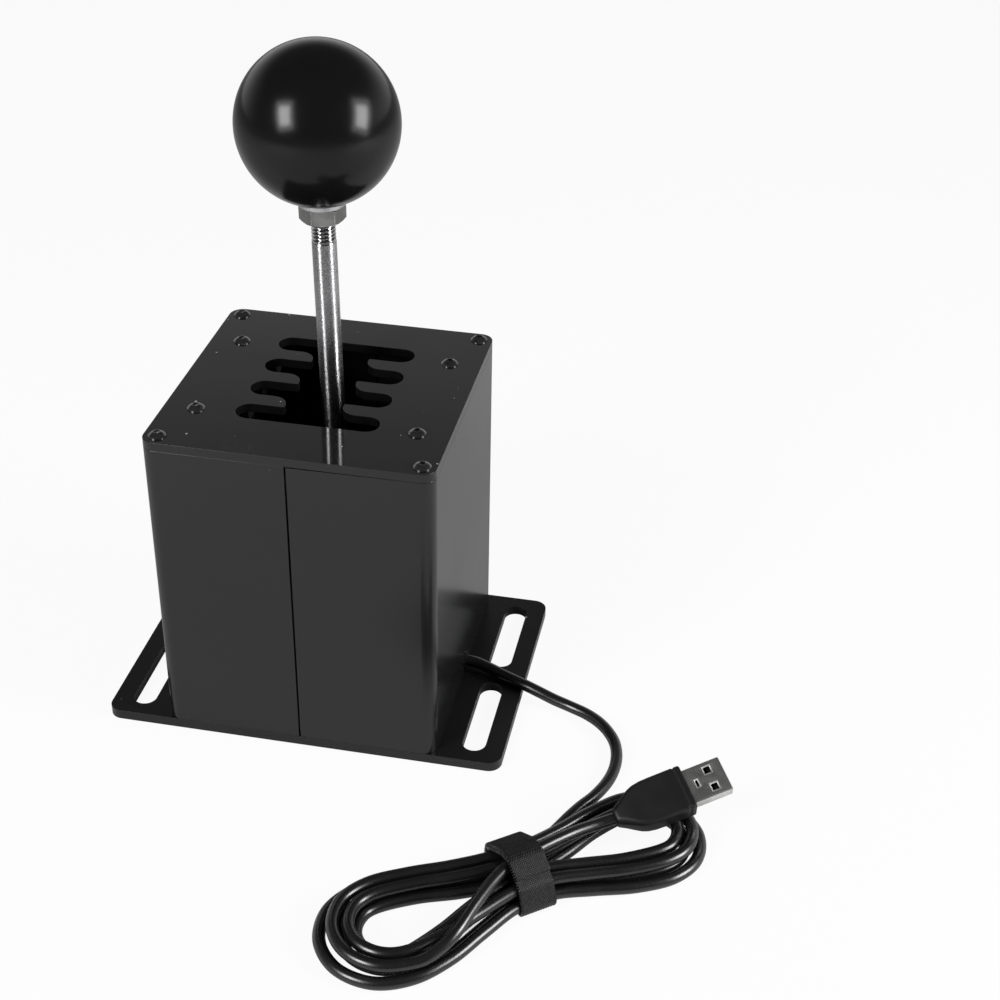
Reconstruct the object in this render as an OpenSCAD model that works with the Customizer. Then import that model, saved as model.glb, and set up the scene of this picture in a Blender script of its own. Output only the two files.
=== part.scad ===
// H-pattern gear shifter for a driving simulator, with a gated lever and a hanked cable.
// Millimetres, +Z up. The origin is the middle of the base plate's underside.
// +X is the side that the cable leaves by, -Y is the front with the seam.

/* [Housing] */
// Width of the box, side to side
body_w = 94; // [90:1:110]
// Depth of the box, front to back
body_d = 94; // [90:1:110]
// Height of the gate plate's upper face above the bench
body_h = 114; // [105:1:130]
// Thickness of the shells' sheet
sheet_t = 1.5; // [1:0.1:2]
// Inside radius of the shells' upright bends
bend_r = 3.1; // [2.9:0.1:5]
// Opening of the seams between the two shells
seam_gap = 0.6; // [0.2:0.1:2]
// Gap between the right shell and the gate plate
right_drop = 0.4; // [0:0.1:2]
// Reach of the shells' bottom tabs
tab_l = 10; // [8:1:14]
// Width of the shells' bottom tabs
tab_w = 14; // [8:1:18]
// Distance of each bottom tab from the middle of its side
tab_y = 28; // [26:1:30]

/* [Base plate] */
// Width of the base plate
base_w = 138; // [130:1:160]
// Thickness of the base plate
base_t = 3.5; // [3:0.1:6]
// Width of a bench slot
slot_w = 8; // [5:0.5:10]
// Length of a bench slot, end to end
slot_l = 37; // [20:1:39]
// Distance between the two slots of one side, middle to middle
slot_pitch = 46.5; // [44:0.5:50]
// Distance from the base plate's edge to the slots' middle line
slot_inset = 10.5; // [8:0.5:12]

/* [Gate] */
// Thickness of the gate plate
top_t = 3; // [2:0.5:5]
// Distance between neighbouring lanes
lane_pitch = 15.6; // [14:0.2:15.8]
// Room on each side of the rod in a lane
lane_gap = 0.6; // [0.5:0.1:1]
// Distance from the lanes' ends to the box's sides
gate_margin = 23.3; // [22:0.1:25]
// Width of the neutral channel
channel_w = 18.4; // [14:0.2:20]
// Place of the gate's middle behind the middle of the plate
gate_y = 2; // [0:0.5:3]
// Rounding of one corner of each tooth between the lanes
tooth_r = 5; // [2:0.5:6]

/* [Lever] */
// Diameter of the lever rod
rod_d = 8; // [7:0.5:9]
// Depth of the pivot shaft under the gate plate's upper face
pivot_drop = 67; // [64:1:72]
// Distance from the pivot to the middle of the knob
lever_l = 153; // [140:0.5:170]
// Diameter of the ball knob
knob_d = 51.5; // [44:0.5:56]
// Diameter of the flat under the knob
knob_flat_d = 14; // [13:0.5:20]
// Lean of the resting lever towards the right
rest_lean = -0.8; // [-3:0.1:3]
// Length of bare thread under the nut
thread_shown = 7; // [3:0.5:12]
// Pitch of the rod's thread
thread_pitch = 1.25; // [1:0.25:1.5]
// Depth of the rod's thread
thread_depth = 0.6; // [0.4:0.05:0.8]
// Width of the jam nut across its flats
nut_af = 13; // [12:0.5:14]
// Height of the jam nut
nut_h = 5.5; // [4:0.5:7]
// Turn of the jam nut about the rod
nut_turn = 17; // [0:1:60]
// Diameter of the washer between nut and knob
knob_washer_d = 15.4; // [15.2:0.2:18]
// Thickness of the washer between nut and knob
knob_washer_t = 1.2; // [0.8:0.1:2]
// Diameter of the threaded insert in the knob
insert_d = 12; // [11:0.5:16]
// Depth of the threaded insert
insert_l = 18; // [12:1:24]

/* [Pivot] */
// Diameter of the pivot shaft
shaft_d = 8; // [6:0.5:9]
// Length of the sliding sleeve
sleeve_l = 14; // [13.5:0.5:15]
// Wall of the sliding sleeve
sleeve_wall = 2; // [1.5:0.1:3]
// Thickness of the sleeve's flange
flange_t = 1.5; // [1:0.1:2]
// Height of the sleeve's flange above the sleeve
flange_rise = 3; // [2.5:0.1:3.5]
// Wall of the lever hub around the sleeve
hub_wall = 4; // [3.5:0.1:6]
// Diameter of the hub's upright socket
socket_d = 14; // [13:0.5:18]
// Height of the hub's socket above the shaft
socket_h = 26; // [22:1:34]
// Thickness of the friction washer
friction_t = 0.8; // [0.5:0.1:1]
// Thickness of the retaining rings
ring_t = 1; // [0.8:0.1:1.2]
// Thickness of the bearing brackets
bracket_t = 5; // [4:0.5:6]
// Width of the bearing brackets
bracket_w = 24; // [18:1:36]
// Reach of the brackets' feet
foot_l = 14; // [11:1:18]
// Thickness of the brackets' feet
foot_t = 6; // [5:0.5:9]
// Wire of the centring springs
spring_wire = 0.8; // [0.5:0.1:0.9]
// Coils of the front spring
front_coils = 9; // [5:1:9]
// Coils of the rear spring
rear_coils = 5; // [3:1:5]

/* [Screws] */
// Diameter of the housing screws
screw_d = 3; // [2.5:0.5:3]
// Diameter of the button heads
button_d = 5.7; // [5.4:0.1:6.4]
// Height of the button heads
button_h = 1.65; // [1.2:0.05:2]
// Width of the hexagon sockets
socket_af = 2; // [1.5:0.1:2.5]
// Length of the housing screws under the head
screw_l = 9; // [7:1:10]
// Distance of the inner screws from the box's sides
inner_inset = 10.7; // [10:0.1:13]
// Distance of the inner screws from the middle, front to back
inner_y = 23.5; // [20:0.5:26]

/* [Electronics] */
// Width of the sensor rails
rail_w = 10; // [8:0.5:11]
// Height of the sensor rails
rail_h = 12; // [10:0.5:16]
// Diameter of a position sensor
sensor_d = 6; // [4:0.5:8]
// Width of the controller board
board_w = 32; // [28:1:34]
// Depth of the controller board
board_d = 38; // [34:1:38]
// Thickness of the controller board
board_t = 1.6; // [1:0.1:2]
// Height of the board's spacers
spacer_h = 3; // [2:0.5:5]
// Height of the plug-in headers
header_h = 6; // [5:0.5:8]
// Width of the ribbon leads
ribbon_w = 8; // [5:0.5:10]
// Thickness of the ribbon leads
ribbon_t = 1; // [0.8:0.1:1.4]

/* [Cable] */
// Diameter of the cable
cable_d = 4; // [3.6:0.1:4.2]
// Place of the cable's exit behind the middle of the right side
exit_y = 2; // [0:0.5:3]
// Height of the cable's exit above the base plate
exit_rise = 3.3; // [3.2:0.1:5]
// Wall of the grommet around the cable
grommet_wall = 0.5; // [0.4:0.1:0.6]
// Rise of the grommet's lips
lip_rise = 0.5; // [0.3:0.1:0.6]
// Loops wound inwards, and again outwards, in the hank
hank_loops = 2.5; // [1.5:1:2.5]
// Half width of the hank's first loop at its folds
hank_half_w = 21.2; // [21.2:0.1:24]
// Distance of each fold's centre from the tie
fold_reach = 44; // [36:1:50]
// Clear space between neighbouring loops
loop_gap = 0.8; // [0.75:0.05:1]
// Clear space between the hank's two layers
layer_gap = 0.55; // [0.5:0.05:1]
// How far the lower loops are drawn in under the tie
waist_draw = 10.5; // [8:0.5:10.5]
// Width of the tie's strap
tie_w = 11.5; // [8:0.1:14]
// Thickness of the tie's strap
tie_t = 1.2; // [0.8:0.1:2]
// Length of the plug's grip
grip_l = 25; // [20:1:32]
// Width of the plug's grip
grip_w = 15; // [13.5:0.5:18]
// Thickness of the plug's grip
grip_h = 8; // [6:0.5:10]
// Length of the plug's metal shell
plug_l = 13; // [11:0.5:14]

/* [Hidden] */
$fn = 64;

// Clearances
run_gap = 0.04;
face_gap = 0.05;
thread_gap = 0.05;
post_gap = 0.3;
tuck = 1;

// Housing
outer_r = bend_r + sheet_t;
lip_w = 10;
lip_t = 1.1;
lip_gap = 0.1;
top_z = body_h - top_t;
corner_x = body_w / 2 - outer_r;
corner_y = body_d / 2 - outer_r;
wall_x = body_w / 2 - sheet_t;
wall_y = body_d / 2 - sheet_t;
tab_screw_x = wall_x - tab_l / 2;
slot_x = base_w / 2 - slot_inset;
inner_x = body_w / 2 - inner_inset;
post_hole_l = screw_l + 2;
head_rim = 0.3;
head_sink = 0.15;
head_cone = button_d / 2 - screw_d / 2;
hex_depth = 1;

// Gate
lane_w = rod_d + 2 * lane_gap;
lanes = [1.5, 0.5, -0.5, -1.5];
lane_reach = body_w / 2 - gate_margin;
gate_half_d = 1.5 * lane_pitch + lane_w / 2;
tooth_t = lane_pitch - lane_w;
corner_cut = min(tooth_r, tooth_t - 0.5);

// Pivot
pivot_z = body_h - pivot_drop;
rest_y = gate_y + lane_pitch / 2;
bracket_gap = 1.5;
bracket_out = wall_y - bracket_gap;
bracket_in = bracket_out - bracket_t;
seat_y = bracket_in - ring_t;
sleeve_r = shaft_d / 2 + sleeve_wall;
flange_r = sleeve_r + flange_rise;
groove_depth = 0.5;
ring_rise = 1.5;
ring_w = 2.96;
ring_margin = 1.2;
groove_front = ring_margin - sleeve_l / 2;
hub_front = groove_front + ring_t + face_gap;
hub_rear = sleeve_l / 2 - flange_t - 2 * face_gap - friction_t;
hub_r = sleeve_r + run_gap + hub_wall;
socket_z = flange_r + 0.7;
rod_foot = hub_r + 2;
set_screw_d = 4;
set_screw_z = (rod_foot + socket_h) / 2;
spring_r = shaft_d / 2 + 0.8 + spring_wire / 2;
bracket_screw_x = bracket_w / 2 - 5;
foot_screw_y = bracket_out - foot_l + 4.5;
foot_cover = 1.5;

// Lever, measured up the rod from the pivot
knob_flat = lever_l - sqrt(pow(knob_d / 2, 2) - pow(knob_flat_d / 2, 2));
nut_top = knob_flat - knob_washer_t;
nut_foot = nut_top - nut_h;
thread_foot = nut_foot - thread_shown;
rod_top = knob_flat + insert_l - 2;
crest_r = rod_d / 2 - 0.08;
neck_r = crest_r - thread_depth;

// Electronics
rail_foot = top_z - rail_h;
rail_l = 3 * lane_pitch + 16;
rail_face = inner_x - rail_w / 2;
sensor_gap = 0.5;
sensor_z = top_z - rail_h / 2;
header_w = 5;
header_edge = 0.2;
ribbon_x = rail_face + 2;
board_x = ribbon_x + header_w / 2 + header_edge - board_w / 2;
board_z = base_t + spacer_h;
chip_z = board_z + board_t;
spacer_d = 5;
pin_d = 2.5;
pin_in = 3;
pin_head_h = 1.5;
pin_head_d = 4.5;
pin_hex_depth = 0.8;
main_chip = [10, 10, 1.4];
side_chip = [6, 5, 1.2];
usb_header_x = board_x + board_w / 2 - header_w / 2;
ribbon_y = -8.5;
left_header_x = board_x - board_w / 2 + header_w / 2 + 0.5;
ribbon_run_z = chip_z + 1;

// Cable, its hank and its plug
cable_r = cable_d / 2;
exit_z = base_t + exit_rise;
exit_x = body_w / 2 + grommet_wall;
edge_x = base_w / 2;
shelf = edge_x - exit_x;
rest_room = 0.15;
on_plate = base_t + cable_r + rest_room;
on_bench = cable_r + rest_room;
hank_mid = [edge_x + 17, -98, 0];
hank_turn = 38;
upper_slack = 3;
outer_reach = 1.5;
loop_step = cable_d + loop_gap;
layer_step = cable_d + layer_gap;
tie_room = 0.3;
tie_lift = tie_t + tie_room;
tie_bend_r = cable_r + tie_room;
lead_at_tie = [-1, 2.3];
bend_steps = 6;
lift_spread = 18;
loop_rings = 24;
fold_start = 3.5 / 12;
climb_from = 0.15;
climb_to = 0.03;
first_ring = -1;
last_ring = loop_rings * (2 * hank_loops - 1) + 8;
grip_taper = 6;
grip_tail_w = 8;
hank_top = cable_d + layer_step;
plug_tail = [35, 3.9, hank_top + 3.45];
plug_tilt = [23, -12, -8];
plug_shell_w = 12;
plug_shell_h = 4.5;
plug_wall = 0.35;
plug_room = 0.1;
tongue_h = 1.9;
latch_hole = 2.2;
latch_from_mouth = 5;
key_slot_w = 0.8;

// Points of the cable between its exit and the hank
cable_route = [
    [exit_x, exit_y, exit_z], [exit_x + 4, exit_y, exit_z], [exit_x + 0.4 * shelf, 1, on_plate + 0.5],
    [exit_x + 0.63 * shelf, -2, on_plate + 0.1], [edge_x - 3, -5, on_plate],
    [edge_x + 2, -7, on_plate - 0.3], [edge_x + 7, -8, on_bench + 2.3], [edge_x + 12, -9, on_bench + 1.1],
    [edge_x + 18, -10.5, on_bench + 0.2], [edge_x + 24, -13, on_bench], [edge_x + 29, -16.5, on_bench],
    [edge_x + 33, -21, on_bench], [edge_x + 36, -26.5, on_bench], [edge_x + 37.5, -33, on_bench],
    [edge_x + 37.5, -40, on_bench], [edge_x + 36, -47, on_bench], [edge_x + 33, -54, on_bench],
    [edge_x + 29.6, -59.5, on_bench], [edge_x + 26.7, -65, on_bench],
    [edge_x + 24.2, -70.5, on_bench + 0.1], [edge_x + 21.8, -75.8, on_bench + 0.4]];

// Points of the plug's lead in the hank's own frame: towards the right fold, sideways, up
lead_route = [
    [-37, -18, hank_top - 0.35], [-30, -15.8, hank_top + 1.75], [-21, -9.8, hank_top + 3.35],
    [-12, -4, hank_top + 3.85], [-4, 0, hank_top + 3.75], [4, 1.9, hank_top + 3.55],
    [13, 3.4, hank_top + 3.45], [22, 4.6, hank_top + 2.95], [29.5, 4.7, hank_top + 2.65]];

function unit(v) = v / norm(v);

function spread(along) = abs(along) < fold_reach ? (1 + cos(180 * along / fold_reach)) / 2 : 0;

// One lobe of a loop, from the waist round the fold and back, g from 0 to 1
function lobe(g, half_w, draw, reach) =
    let (along = reach * min(g, 1 - g) / fold_start, run_w = half_w - draw * spread(along),
         turn = 90 + 180 * (g - fold_start) / (1 - 2 * fold_start))
    g < fold_start ? [-along, run_w]
    : g < 1 - fold_start ? [half_w * cos(turn) - reach, half_w * sin(turn)]
    : [-along, -run_w];

function loop_half_w(u) = hank_half_w - loop_step * (hank_loops - abs(u - hank_loops));

function climb(u) = min(1, max(0, (u - hank_loops + climb_from) / (climb_from - climb_to)));

function loop_draw(u) = waist_draw - upper_slack * climb(u);

function loop_reach(u) = fold_reach + (u > 0 && u < 0.5 ? outer_reach : 0);

// Point of the hank after u loops, in the hank's own frame
function hank_point(u) =
    let (half = floor(2 * u), side = half % 2 == 0 ? 1 : -1,
         p = lobe(2 * u - half, loop_half_w(u), loop_draw(u), loop_reach(u)) * side)
    [p[0], p[1], cable_r + layer_step * climb(u) + tie_lift * exp(-pow(p[0] / lift_spread, 2))];

function placed(p) = hank_mid + [p[0] * cos(hank_turn) - p[1] * sin(hank_turn),
                                 p[0] * sin(hank_turn) + p[1] * cos(hank_turn), p[2]];

hank_turns = [first_ring, each [0 : last_ring]];
hank_local = concat([for (k = hank_turns) hank_point((k + 0.5) / loop_rings)], lead_route, [plug_tail]);
hank_route = [for (p = hank_local) placed(p)];
cable_lead_in = placed(hank_point(first_ring / loop_rings) + [0, loop_gap / 2, 0]);
cable_end = hank_route[0] - cable_r / 2 * unit(hank_route[1] - hank_route[0]);
cable_points = concat(cable_route, [cable_lead_in, cable_end, hank_route[0]]);
cord_route = concat(cable_route, [cable_lead_in], hank_route);

// Points along a route, four on each stretch
function close_points(route) =
    [for (i = [0 : len(route) - 2], t = [0 : 0.25 : 0.75]) route[i] + t * (route[i + 1] - route[i])];

// Least clear distance of a tube to itself, between points that are some places apart on its route
function least_gap(points, d, apart) =
    min([for (i = [0 : len(points) - 1 - apart], j = [i + apart : len(points) - 1])
        norm(points[i] - points[j])]) - d;

echo(cord_least_gap = least_gap(close_points(cord_route), cable_d, loop_rings));

// Direction of a route at one of its points
function heading(points, i) =
    i == 0 ? unit(points[1] - points[0])
    : i == len(points) - 1 ? unit(points[i] - points[i - 1])
    : unit(unit(points[i] - points[i - 1]) + unit(points[i + 1] - points[i]));

function ring(centre, ahead, across, r, sides) =
    let (n = unit(cross(across, ahead)), b = cross(ahead, n))
    [for (k = [0 : sides - 1]) centre + r * (n * cos(360 * k / sides) + b * sin(360 * k / sides))];

function coil_point(a, r, y0, y1, turns) = [r * sin(a), y0 + (y1 - y0) * a / 360 / turns, r * cos(a)];

module tube(points, r, sides, across = [0, 0, 1]) {
    last = len(points) - 1;
    rings = [for (i = [0 : last]) each ring(points[i], heading(points, i), across, r, sides)];
    walls = [for (i = [0 : last - 1]) for (k = [0 : sides - 1])
        let (a = i * sides + k, b = i * sides + (k + 1) % sides)
        each [[a, b + sides, b], [a, a + sides, b + sides]]];
    first_cap = [for (k = [1 : sides - 2]) [0, k, k + 1]];
    last_cap = [for (k = [1 : sides - 2]) [last * sides, last * sides + k + 1, last * sides + k]];
    polyhedron(points = rings, faces = concat(walls, first_cap, last_cap));
}

module rod_y(r, y0, y1) {
    translate([0, y0, 0]) rotate([-90, 0, 0]) cylinder(r = r, h = y1 - y0);
}

module rod_x(r, x0, x1) {
    translate([x0, 0, 0]) rotate([0, 90, 0]) cylinder(r = r, h = x1 - x0);
}

module rounded_plan(w, d, r) {
    square([w - 2 * r, d], center = true);
    square([w, d - 2 * r], center = true);
    for (x = [-1, 1], y = [-1, 1])
        translate([x * (w / 2 - r), y * (d / 2 - r)]) circle(r = r);
}

module at_corners(x, y) {
    for (sx = [-1, 1], sy = [-1, 1])
        translate([sx * x, sy * y, 0]) children();
}

module button_screw(length) {
    dome_rise = button_h - head_rim;
    dome_r = (pow(button_d / 2, 2) + pow(dome_rise, 2)) / (2 * dome_rise);
    difference() {
        intersection() {
            cylinder(d = button_d, h = button_h);
            translate([0, 0, button_h - dome_r]) sphere(r = dome_r);
        }
        translate([0, 0, button_h - hex_depth]) cylinder(d = socket_af / cos(30), h = 2 * hex_depth, $fn = 6);
    }
    translate([0, 0, -length]) cylinder(d = screw_d, h = length);
}

// Flush screw from below: its head ends head_sink inside the base plate
module flush_screw(top) {
    difference() {
        union() {
            translate([0, 0, head_sink]) cylinder(r1 = button_d / 2, r2 = screw_d / 2, h = head_cone);
            translate([0, 0, head_sink]) cylinder(d = screw_d, h = top - head_sink);
        }
        cylinder(d = socket_af / cos(30), h = head_sink + hex_depth, $fn = 6);
    }
}

module flush_hole() {
    hole_r = screw_d / 2 + thread_gap;
    head_r = button_d / 2 + thread_gap;
    translate([0, 0, -tuck]) cylinder(r = hole_r, h = base_t + 2 * tuck);
    translate([0, 0, head_sink + thread_gap]) cylinder(r1 = head_r, r2 = hole_r, h = head_cone);
    translate([0, 0, -tuck]) cylinder(r = head_r, h = tuck + head_sink + thread_gap);
}

module at_brackets() {
    for (sx = [-1, 1], sy = [-1, 1])
        translate([sx * bracket_screw_x, sy * foot_screw_y, 0]) children();
}

module at_spacers() {
    for (sx = [-1, 1], sy = [-1, 1])
        translate([board_x + sx * (board_w / 2 - pin_in), sy * (board_d / 2 - pin_in), 0]) children();
}

module slot_plan() {
    square([slot_w, slot_l - slot_w], center = true);
    for (s = [-1, 1])
        translate([0, s * (slot_l - slot_w) / 2]) circle(d = slot_w);
}

module base_plate() {
    color("#161617") difference() {
        linear_extrude(base_t) difference() {
            rounded_plan(base_w, body_d, outer_r);
            for (sx = [-1, 1], sy = [-1, 1])
                translate([sx * slot_x, sy * slot_pitch / 2]) slot_plan();
        }
        at_corners(corner_x, corner_y) flush_hole();
        at_corners(tab_screw_x, tab_y) flush_hole();
        at_brackets() flush_hole();
        at_spacers() translate([0, 0, tuck]) cylinder(d = pin_d + 2 * thread_gap, h = base_t);
    }
}

// Rounds one corner of a tooth: s is -1 for the left teeth, 1 for the right ones
module tooth_corner(s) {
    translate([s * (channel_w / 2 + corner_cut), -s * (tooth_t / 2 - corner_cut)]) difference() {
        translate([-s * corner_cut / 2, -s * corner_cut / 2]) square(corner_cut, center = true);
        circle(r = corner_cut);
    }
}

module gate_plan() {
    square([channel_w, 2 * gate_half_d], center = true);
    for (k = lanes) translate([0, k * lane_pitch]) {
        square([2 * lane_reach - lane_w, lane_w], center = true);
        for (s = [-1, 1])
            translate([s * (lane_reach - lane_w / 2), 0]) circle(d = lane_w);
    }
    for (k = [-1, 0, 1], s = [-1, 1])
        translate([0, k * lane_pitch]) tooth_corner(s);
}

module gate_plate() {
    hole_r = screw_d / 2 + thread_gap;
    color("#1c1c1d") translate([0, 0, top_z]) difference() {
        linear_extrude(top_t) difference() {
            rounded_plan(body_w, body_d, outer_r);
            translate([0, gate_y]) gate_plan();
        }
        at_corners(corner_x, corner_y) translate([0, 0, -tuck]) cylinder(r = hole_r, h = top_t + 2 * tuck);
        at_corners(inner_x, inner_y) translate([0, 0, -tuck]) cylinder(r = hole_r, h = top_t + 2 * tuck);
    }
}

// Bent sheet of one side: s is -1 for the left shell, 1 for the right one
module shell(s, height) {
    wide = body_w / 2;
    translate([0, 0, base_t]) {
        linear_extrude(height) difference() {
            rounded_plan(body_w, body_d, outer_r);
            rounded_plan(body_w - 2 * sheet_t, body_d - 2 * sheet_t, bend_r);
            translate([s * (seam_gap / 2 - wide), 0]) square([body_w, body_d + 2], center = true);
        }
        for (t = [-1, 1]) difference() {
            translate([s * (wall_x - tab_l / 2 + sheet_t / 4), t * tab_y, sheet_t / 2])
                cube([tab_l + sheet_t / 2, tab_w, sheet_t], center = true);
            translate([s * tab_screw_x, t * tab_y, -tuck])
                cylinder(r = screw_d / 2 + thread_gap, h = sheet_t + 2 * tuck);
        }
    }
}

// Strips inside the left shell, which close the seams from behind and stay clear of the right shell
module seam_lips(height) {
    for (t = [-1, 1]) translate([0, t * wall_y, base_t + height / 2]) {
        translate([0, -t * (lip_gap + lip_t / 2), 0]) cube([lip_w, lip_t, height], center = true);
        translate([-(lip_w + seam_gap) / 4, 0, 0])
            cube([(lip_w - seam_gap) / 2, sheet_t, height], center = true);
    }
}

module left_shell() {
    height = top_z - base_t;
    color("#19191a") {
        shell(-1, height);
        seam_lips(height);
    }
}

module right_shell() {
    hole_r = cable_r + 2 * thread_gap + grommet_wall;
    color("#1d1d1e") difference() {
        shell(1, top_z - base_t - right_drop);
        translate([0, exit_y, exit_z]) rod_x(hole_r, wall_x - tuck, body_w / 2 + tuck);
    }
}

module corner_posts() {
    hole_r = screw_d / 2 + thread_gap;
    color("silver") at_corners(corner_x, corner_y) difference() {
        translate([0, 0, base_t]) cylinder(r = bend_r - post_gap, h = top_z - base_t);
        translate([0, 0, base_t - tuck]) cylinder(r = hole_r, h = post_hole_l + tuck);
        translate([0, 0, top_z - post_hole_l]) cylinder(r = hole_r, h = post_hole_l + tuck);
    }
}

module corner_screws() {
    color("#101010") at_corners(corner_x, corner_y) translate([0, 0, body_h]) button_screw(screw_l);
}

module base_screws() {
    color("#101010") at_corners(corner_x, corner_y) flush_screw(screw_l);
}

module tab_screws() {
    color("#101010") at_corners(tab_screw_x, tab_y) flush_screw(base_t + sheet_t);
}

module inner_screws() {
    color("#101010") at_corners(inner_x, inner_y) translate([0, 0, body_h]) button_screw(screw_l);
}

module rail(s) {
    color("#242424") difference() {
        translate([s * inner_x, gate_y, rail_foot + rail_h / 2])
            cube([rail_w, rail_l, rail_h], center = true);
        for (y = [-1, 1])
            translate([s * inner_x, y * inner_y, top_z - post_hole_l + top_t])
                cylinder(r = screw_d / 2 + thread_gap, h = post_hole_l);
    }
}

module left_rail() {
    rail(-1);
}

module right_rail() {
    rail(1);
}

module position_sensors() {
    color("#0c0c0c") for (k = lanes, s = [0, 1])
        translate([0, gate_y + k * lane_pitch, sensor_z]) mirror([s, 0, 0])
            rod_x(sensor_d / 2, lane_reach + sensor_gap, rail_face);
}

module bracket(s) {
    color("#8d8f92") mirror([0, s < 0 ? 1 : 0, 0]) difference() {
        union() {
            translate([-bracket_w / 2, bracket_in, base_t]) cube([bracket_w, bracket_t, pivot_z - base_t]);
            translate([0, 0, pivot_z]) rod_y(bracket_w / 2, bracket_in, bracket_out);
            translate([-bracket_w / 2, bracket_out - foot_l, base_t]) cube([bracket_w, foot_l, foot_t]);
        }
        translate([0, 0, pivot_z]) rod_y(shaft_d / 2 + run_gap / 2, bracket_in - tuck, bracket_out + tuck);
        for (x = [-1, 1])
            translate([x * bracket_screw_x, foot_screw_y, base_t - tuck])
                cylinder(r = screw_d / 2 + thread_gap, h = foot_t + tuck - 1);
    }
}

module front_bracket() {
    bracket(-1);
}

module rear_bracket() {
    bracket(1);
}

module bracket_screws() {
    color("#101010") at_brackets() flush_screw(base_t + foot_t - foot_cover);
}

module ring_y(r0, r1, y0, y1) {
    difference() {
        rod_y(r1, y0, y1);
        rod_y(r0, y0 - tuck, y1 + tuck);
    }
}

module pivot_shaft() {
    groove_r = shaft_d / 2 - groove_depth;
    color("#c9ccd0") translate([0, 0, pivot_z]) difference() {
        rod_y(shaft_d / 2, -bracket_out, bracket_out);
        for (s = [0, 1])
            mirror([0, s, 0]) ring_y(groove_r, shaft_d, seat_y - face_gap, bracket_in);
    }
}

module shaft_rings() {
    bore_r = shaft_d / 2 - groove_depth + run_gap;
    color("#5a5c60") translate([0, 0, pivot_z]) for (s = [0, 1])
        mirror([0, s, 0]) ring_y(bore_r, bore_r + ring_w, seat_y, bracket_in - face_gap / 2);
}

module spring(y0, y1, coils) {
    ends = spring_wire / 2 + 4 * face_gap;
    steps = 8 * coils;
    color("#b9bcc0") translate([0, 0, pivot_z])
        tube([for (k = [0 : steps]) coil_point(360 * k / 8, spring_r, y0 + ends, y1 - ends, coils)],
             spring_wire / 2, 6, [0, 1, 0]);
}

module front_spring() {
    spring(-seat_y, rest_y - sleeve_l / 2, front_coils);
}

module rear_spring() {
    spring(rest_y + sleeve_l / 2, seat_y, rear_coils);
}

module controller_board() {
    color("#1f5a3a") difference() {
        translate([board_x, 0, board_z + board_t / 2]) cube([board_w, board_d, board_t], center = true);
        at_spacers() translate([0, 0, board_z - tuck])
            cylinder(d = pin_d + 2 * thread_gap, h = board_t + 2 * tuck);
    }
}

module board_spacers() {
    color("#e8e6de") at_spacers() translate([0, 0, base_t]) difference() {
        cylinder(d = spacer_d, h = spacer_h);
        translate([0, 0, -tuck]) cylinder(d = pin_d + 2 * thread_gap, h = spacer_h + 2 * tuck);
    }
}

module board_screws() {
    color("#b9bcc0") at_spacers() translate([0, 0, chip_z]) difference() {
        union() {
            cylinder(d = pin_head_d, h = pin_head_h);
            translate([0, 0, 1.2 * tuck - chip_z]) cylinder(d = pin_d, h = chip_z - 1.2 * tuck);
        }
        translate([0, 0, pin_head_h - pin_hex_depth]) cylinder(d = socket_af / cos(30), h = 1, $fn = 6);
    }
}

module board_chips() {
    color("#0d0d0d") translate([board_x, 0, chip_z]) {
        translate([-main_chip[0] / 2, 2, 0]) cube(main_chip);
        translate([-side_chip[0] / 2, -12, 0]) cube(side_chip);
    }
}

module header_at(x, y) {
    translate([x - header_w / 2, y - (ribbon_w + 1) / 2, chip_z]) cube([header_w, ribbon_w + 1, header_h]);
}

module board_headers() {
    color("#ece9df") {
        header_at(usb_header_x, exit_y);
        header_at(left_header_x, ribbon_y);
        header_at(ribbon_x, ribbon_y);
    }
}

module ribbon_leads() {
    run_end = left_header_x - header_w / 2;
    color("#6d6f72") {
        translate([ribbon_x - ribbon_t / 2, ribbon_y - ribbon_w / 2, chip_z + header_h])
            cube([ribbon_t, ribbon_w, rail_foot - chip_z - header_h]);
        translate([-ribbon_x - ribbon_t / 2, ribbon_y - ribbon_w / 2, ribbon_run_z])
            cube([ribbon_t, ribbon_w, rail_foot - ribbon_run_z]);
        translate([-ribbon_x - ribbon_t / 2, ribbon_y - ribbon_w / 2, ribbon_run_z])
            cube([run_end + ribbon_x + ribbon_t / 2, ribbon_w, ribbon_t]);
    }
}

module inner_lead() {
    plug_x = usb_header_x + header_w / 2;
    plug_z = chip_z + header_h / 2;
    inside = wall_x - 4 * grommet_wall;
    span = inside - plug_x;
    color("#141414") tube([
        [plug_x, exit_y, plug_z], [plug_x + 0.2 * span, exit_y, plug_z],
        [plug_x + 0.4 * span, exit_y, plug_z - 0.2 * (plug_z - exit_z)],
        [plug_x + 0.6 * span, exit_y, exit_z + 0.2 * (plug_z - exit_z)],
        [plug_x + 0.8 * span, exit_y, exit_z], [inside, exit_y, exit_z], [exit_x, exit_y, exit_z]],
        cable_r, 8);
}

module cable_grommet() {
    neck_r = cable_r + thread_gap + grommet_wall;
    lip_r = neck_r + lip_rise;
    color("#111112") translate([0, exit_y, exit_z]) difference() {
        union() {
            rod_x(neck_r, wall_x, body_w / 2);
            rod_x(lip_r, body_w / 2, exit_x);
            rod_x(lip_r, wall_x - 1, wall_x);
        }
        rod_x(cable_r + thread_gap, wall_x - 2, exit_x + tuck);
    }
}

module cable() {
    color("#121212") tube(cable_points, cable_r, 8);
}

module cable_hank() {
    color("#121212") tube(hank_route, cable_r, 6);
}

module in_hank() {
    translate(hank_mid) rotate(hank_turn) children();
}

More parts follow.
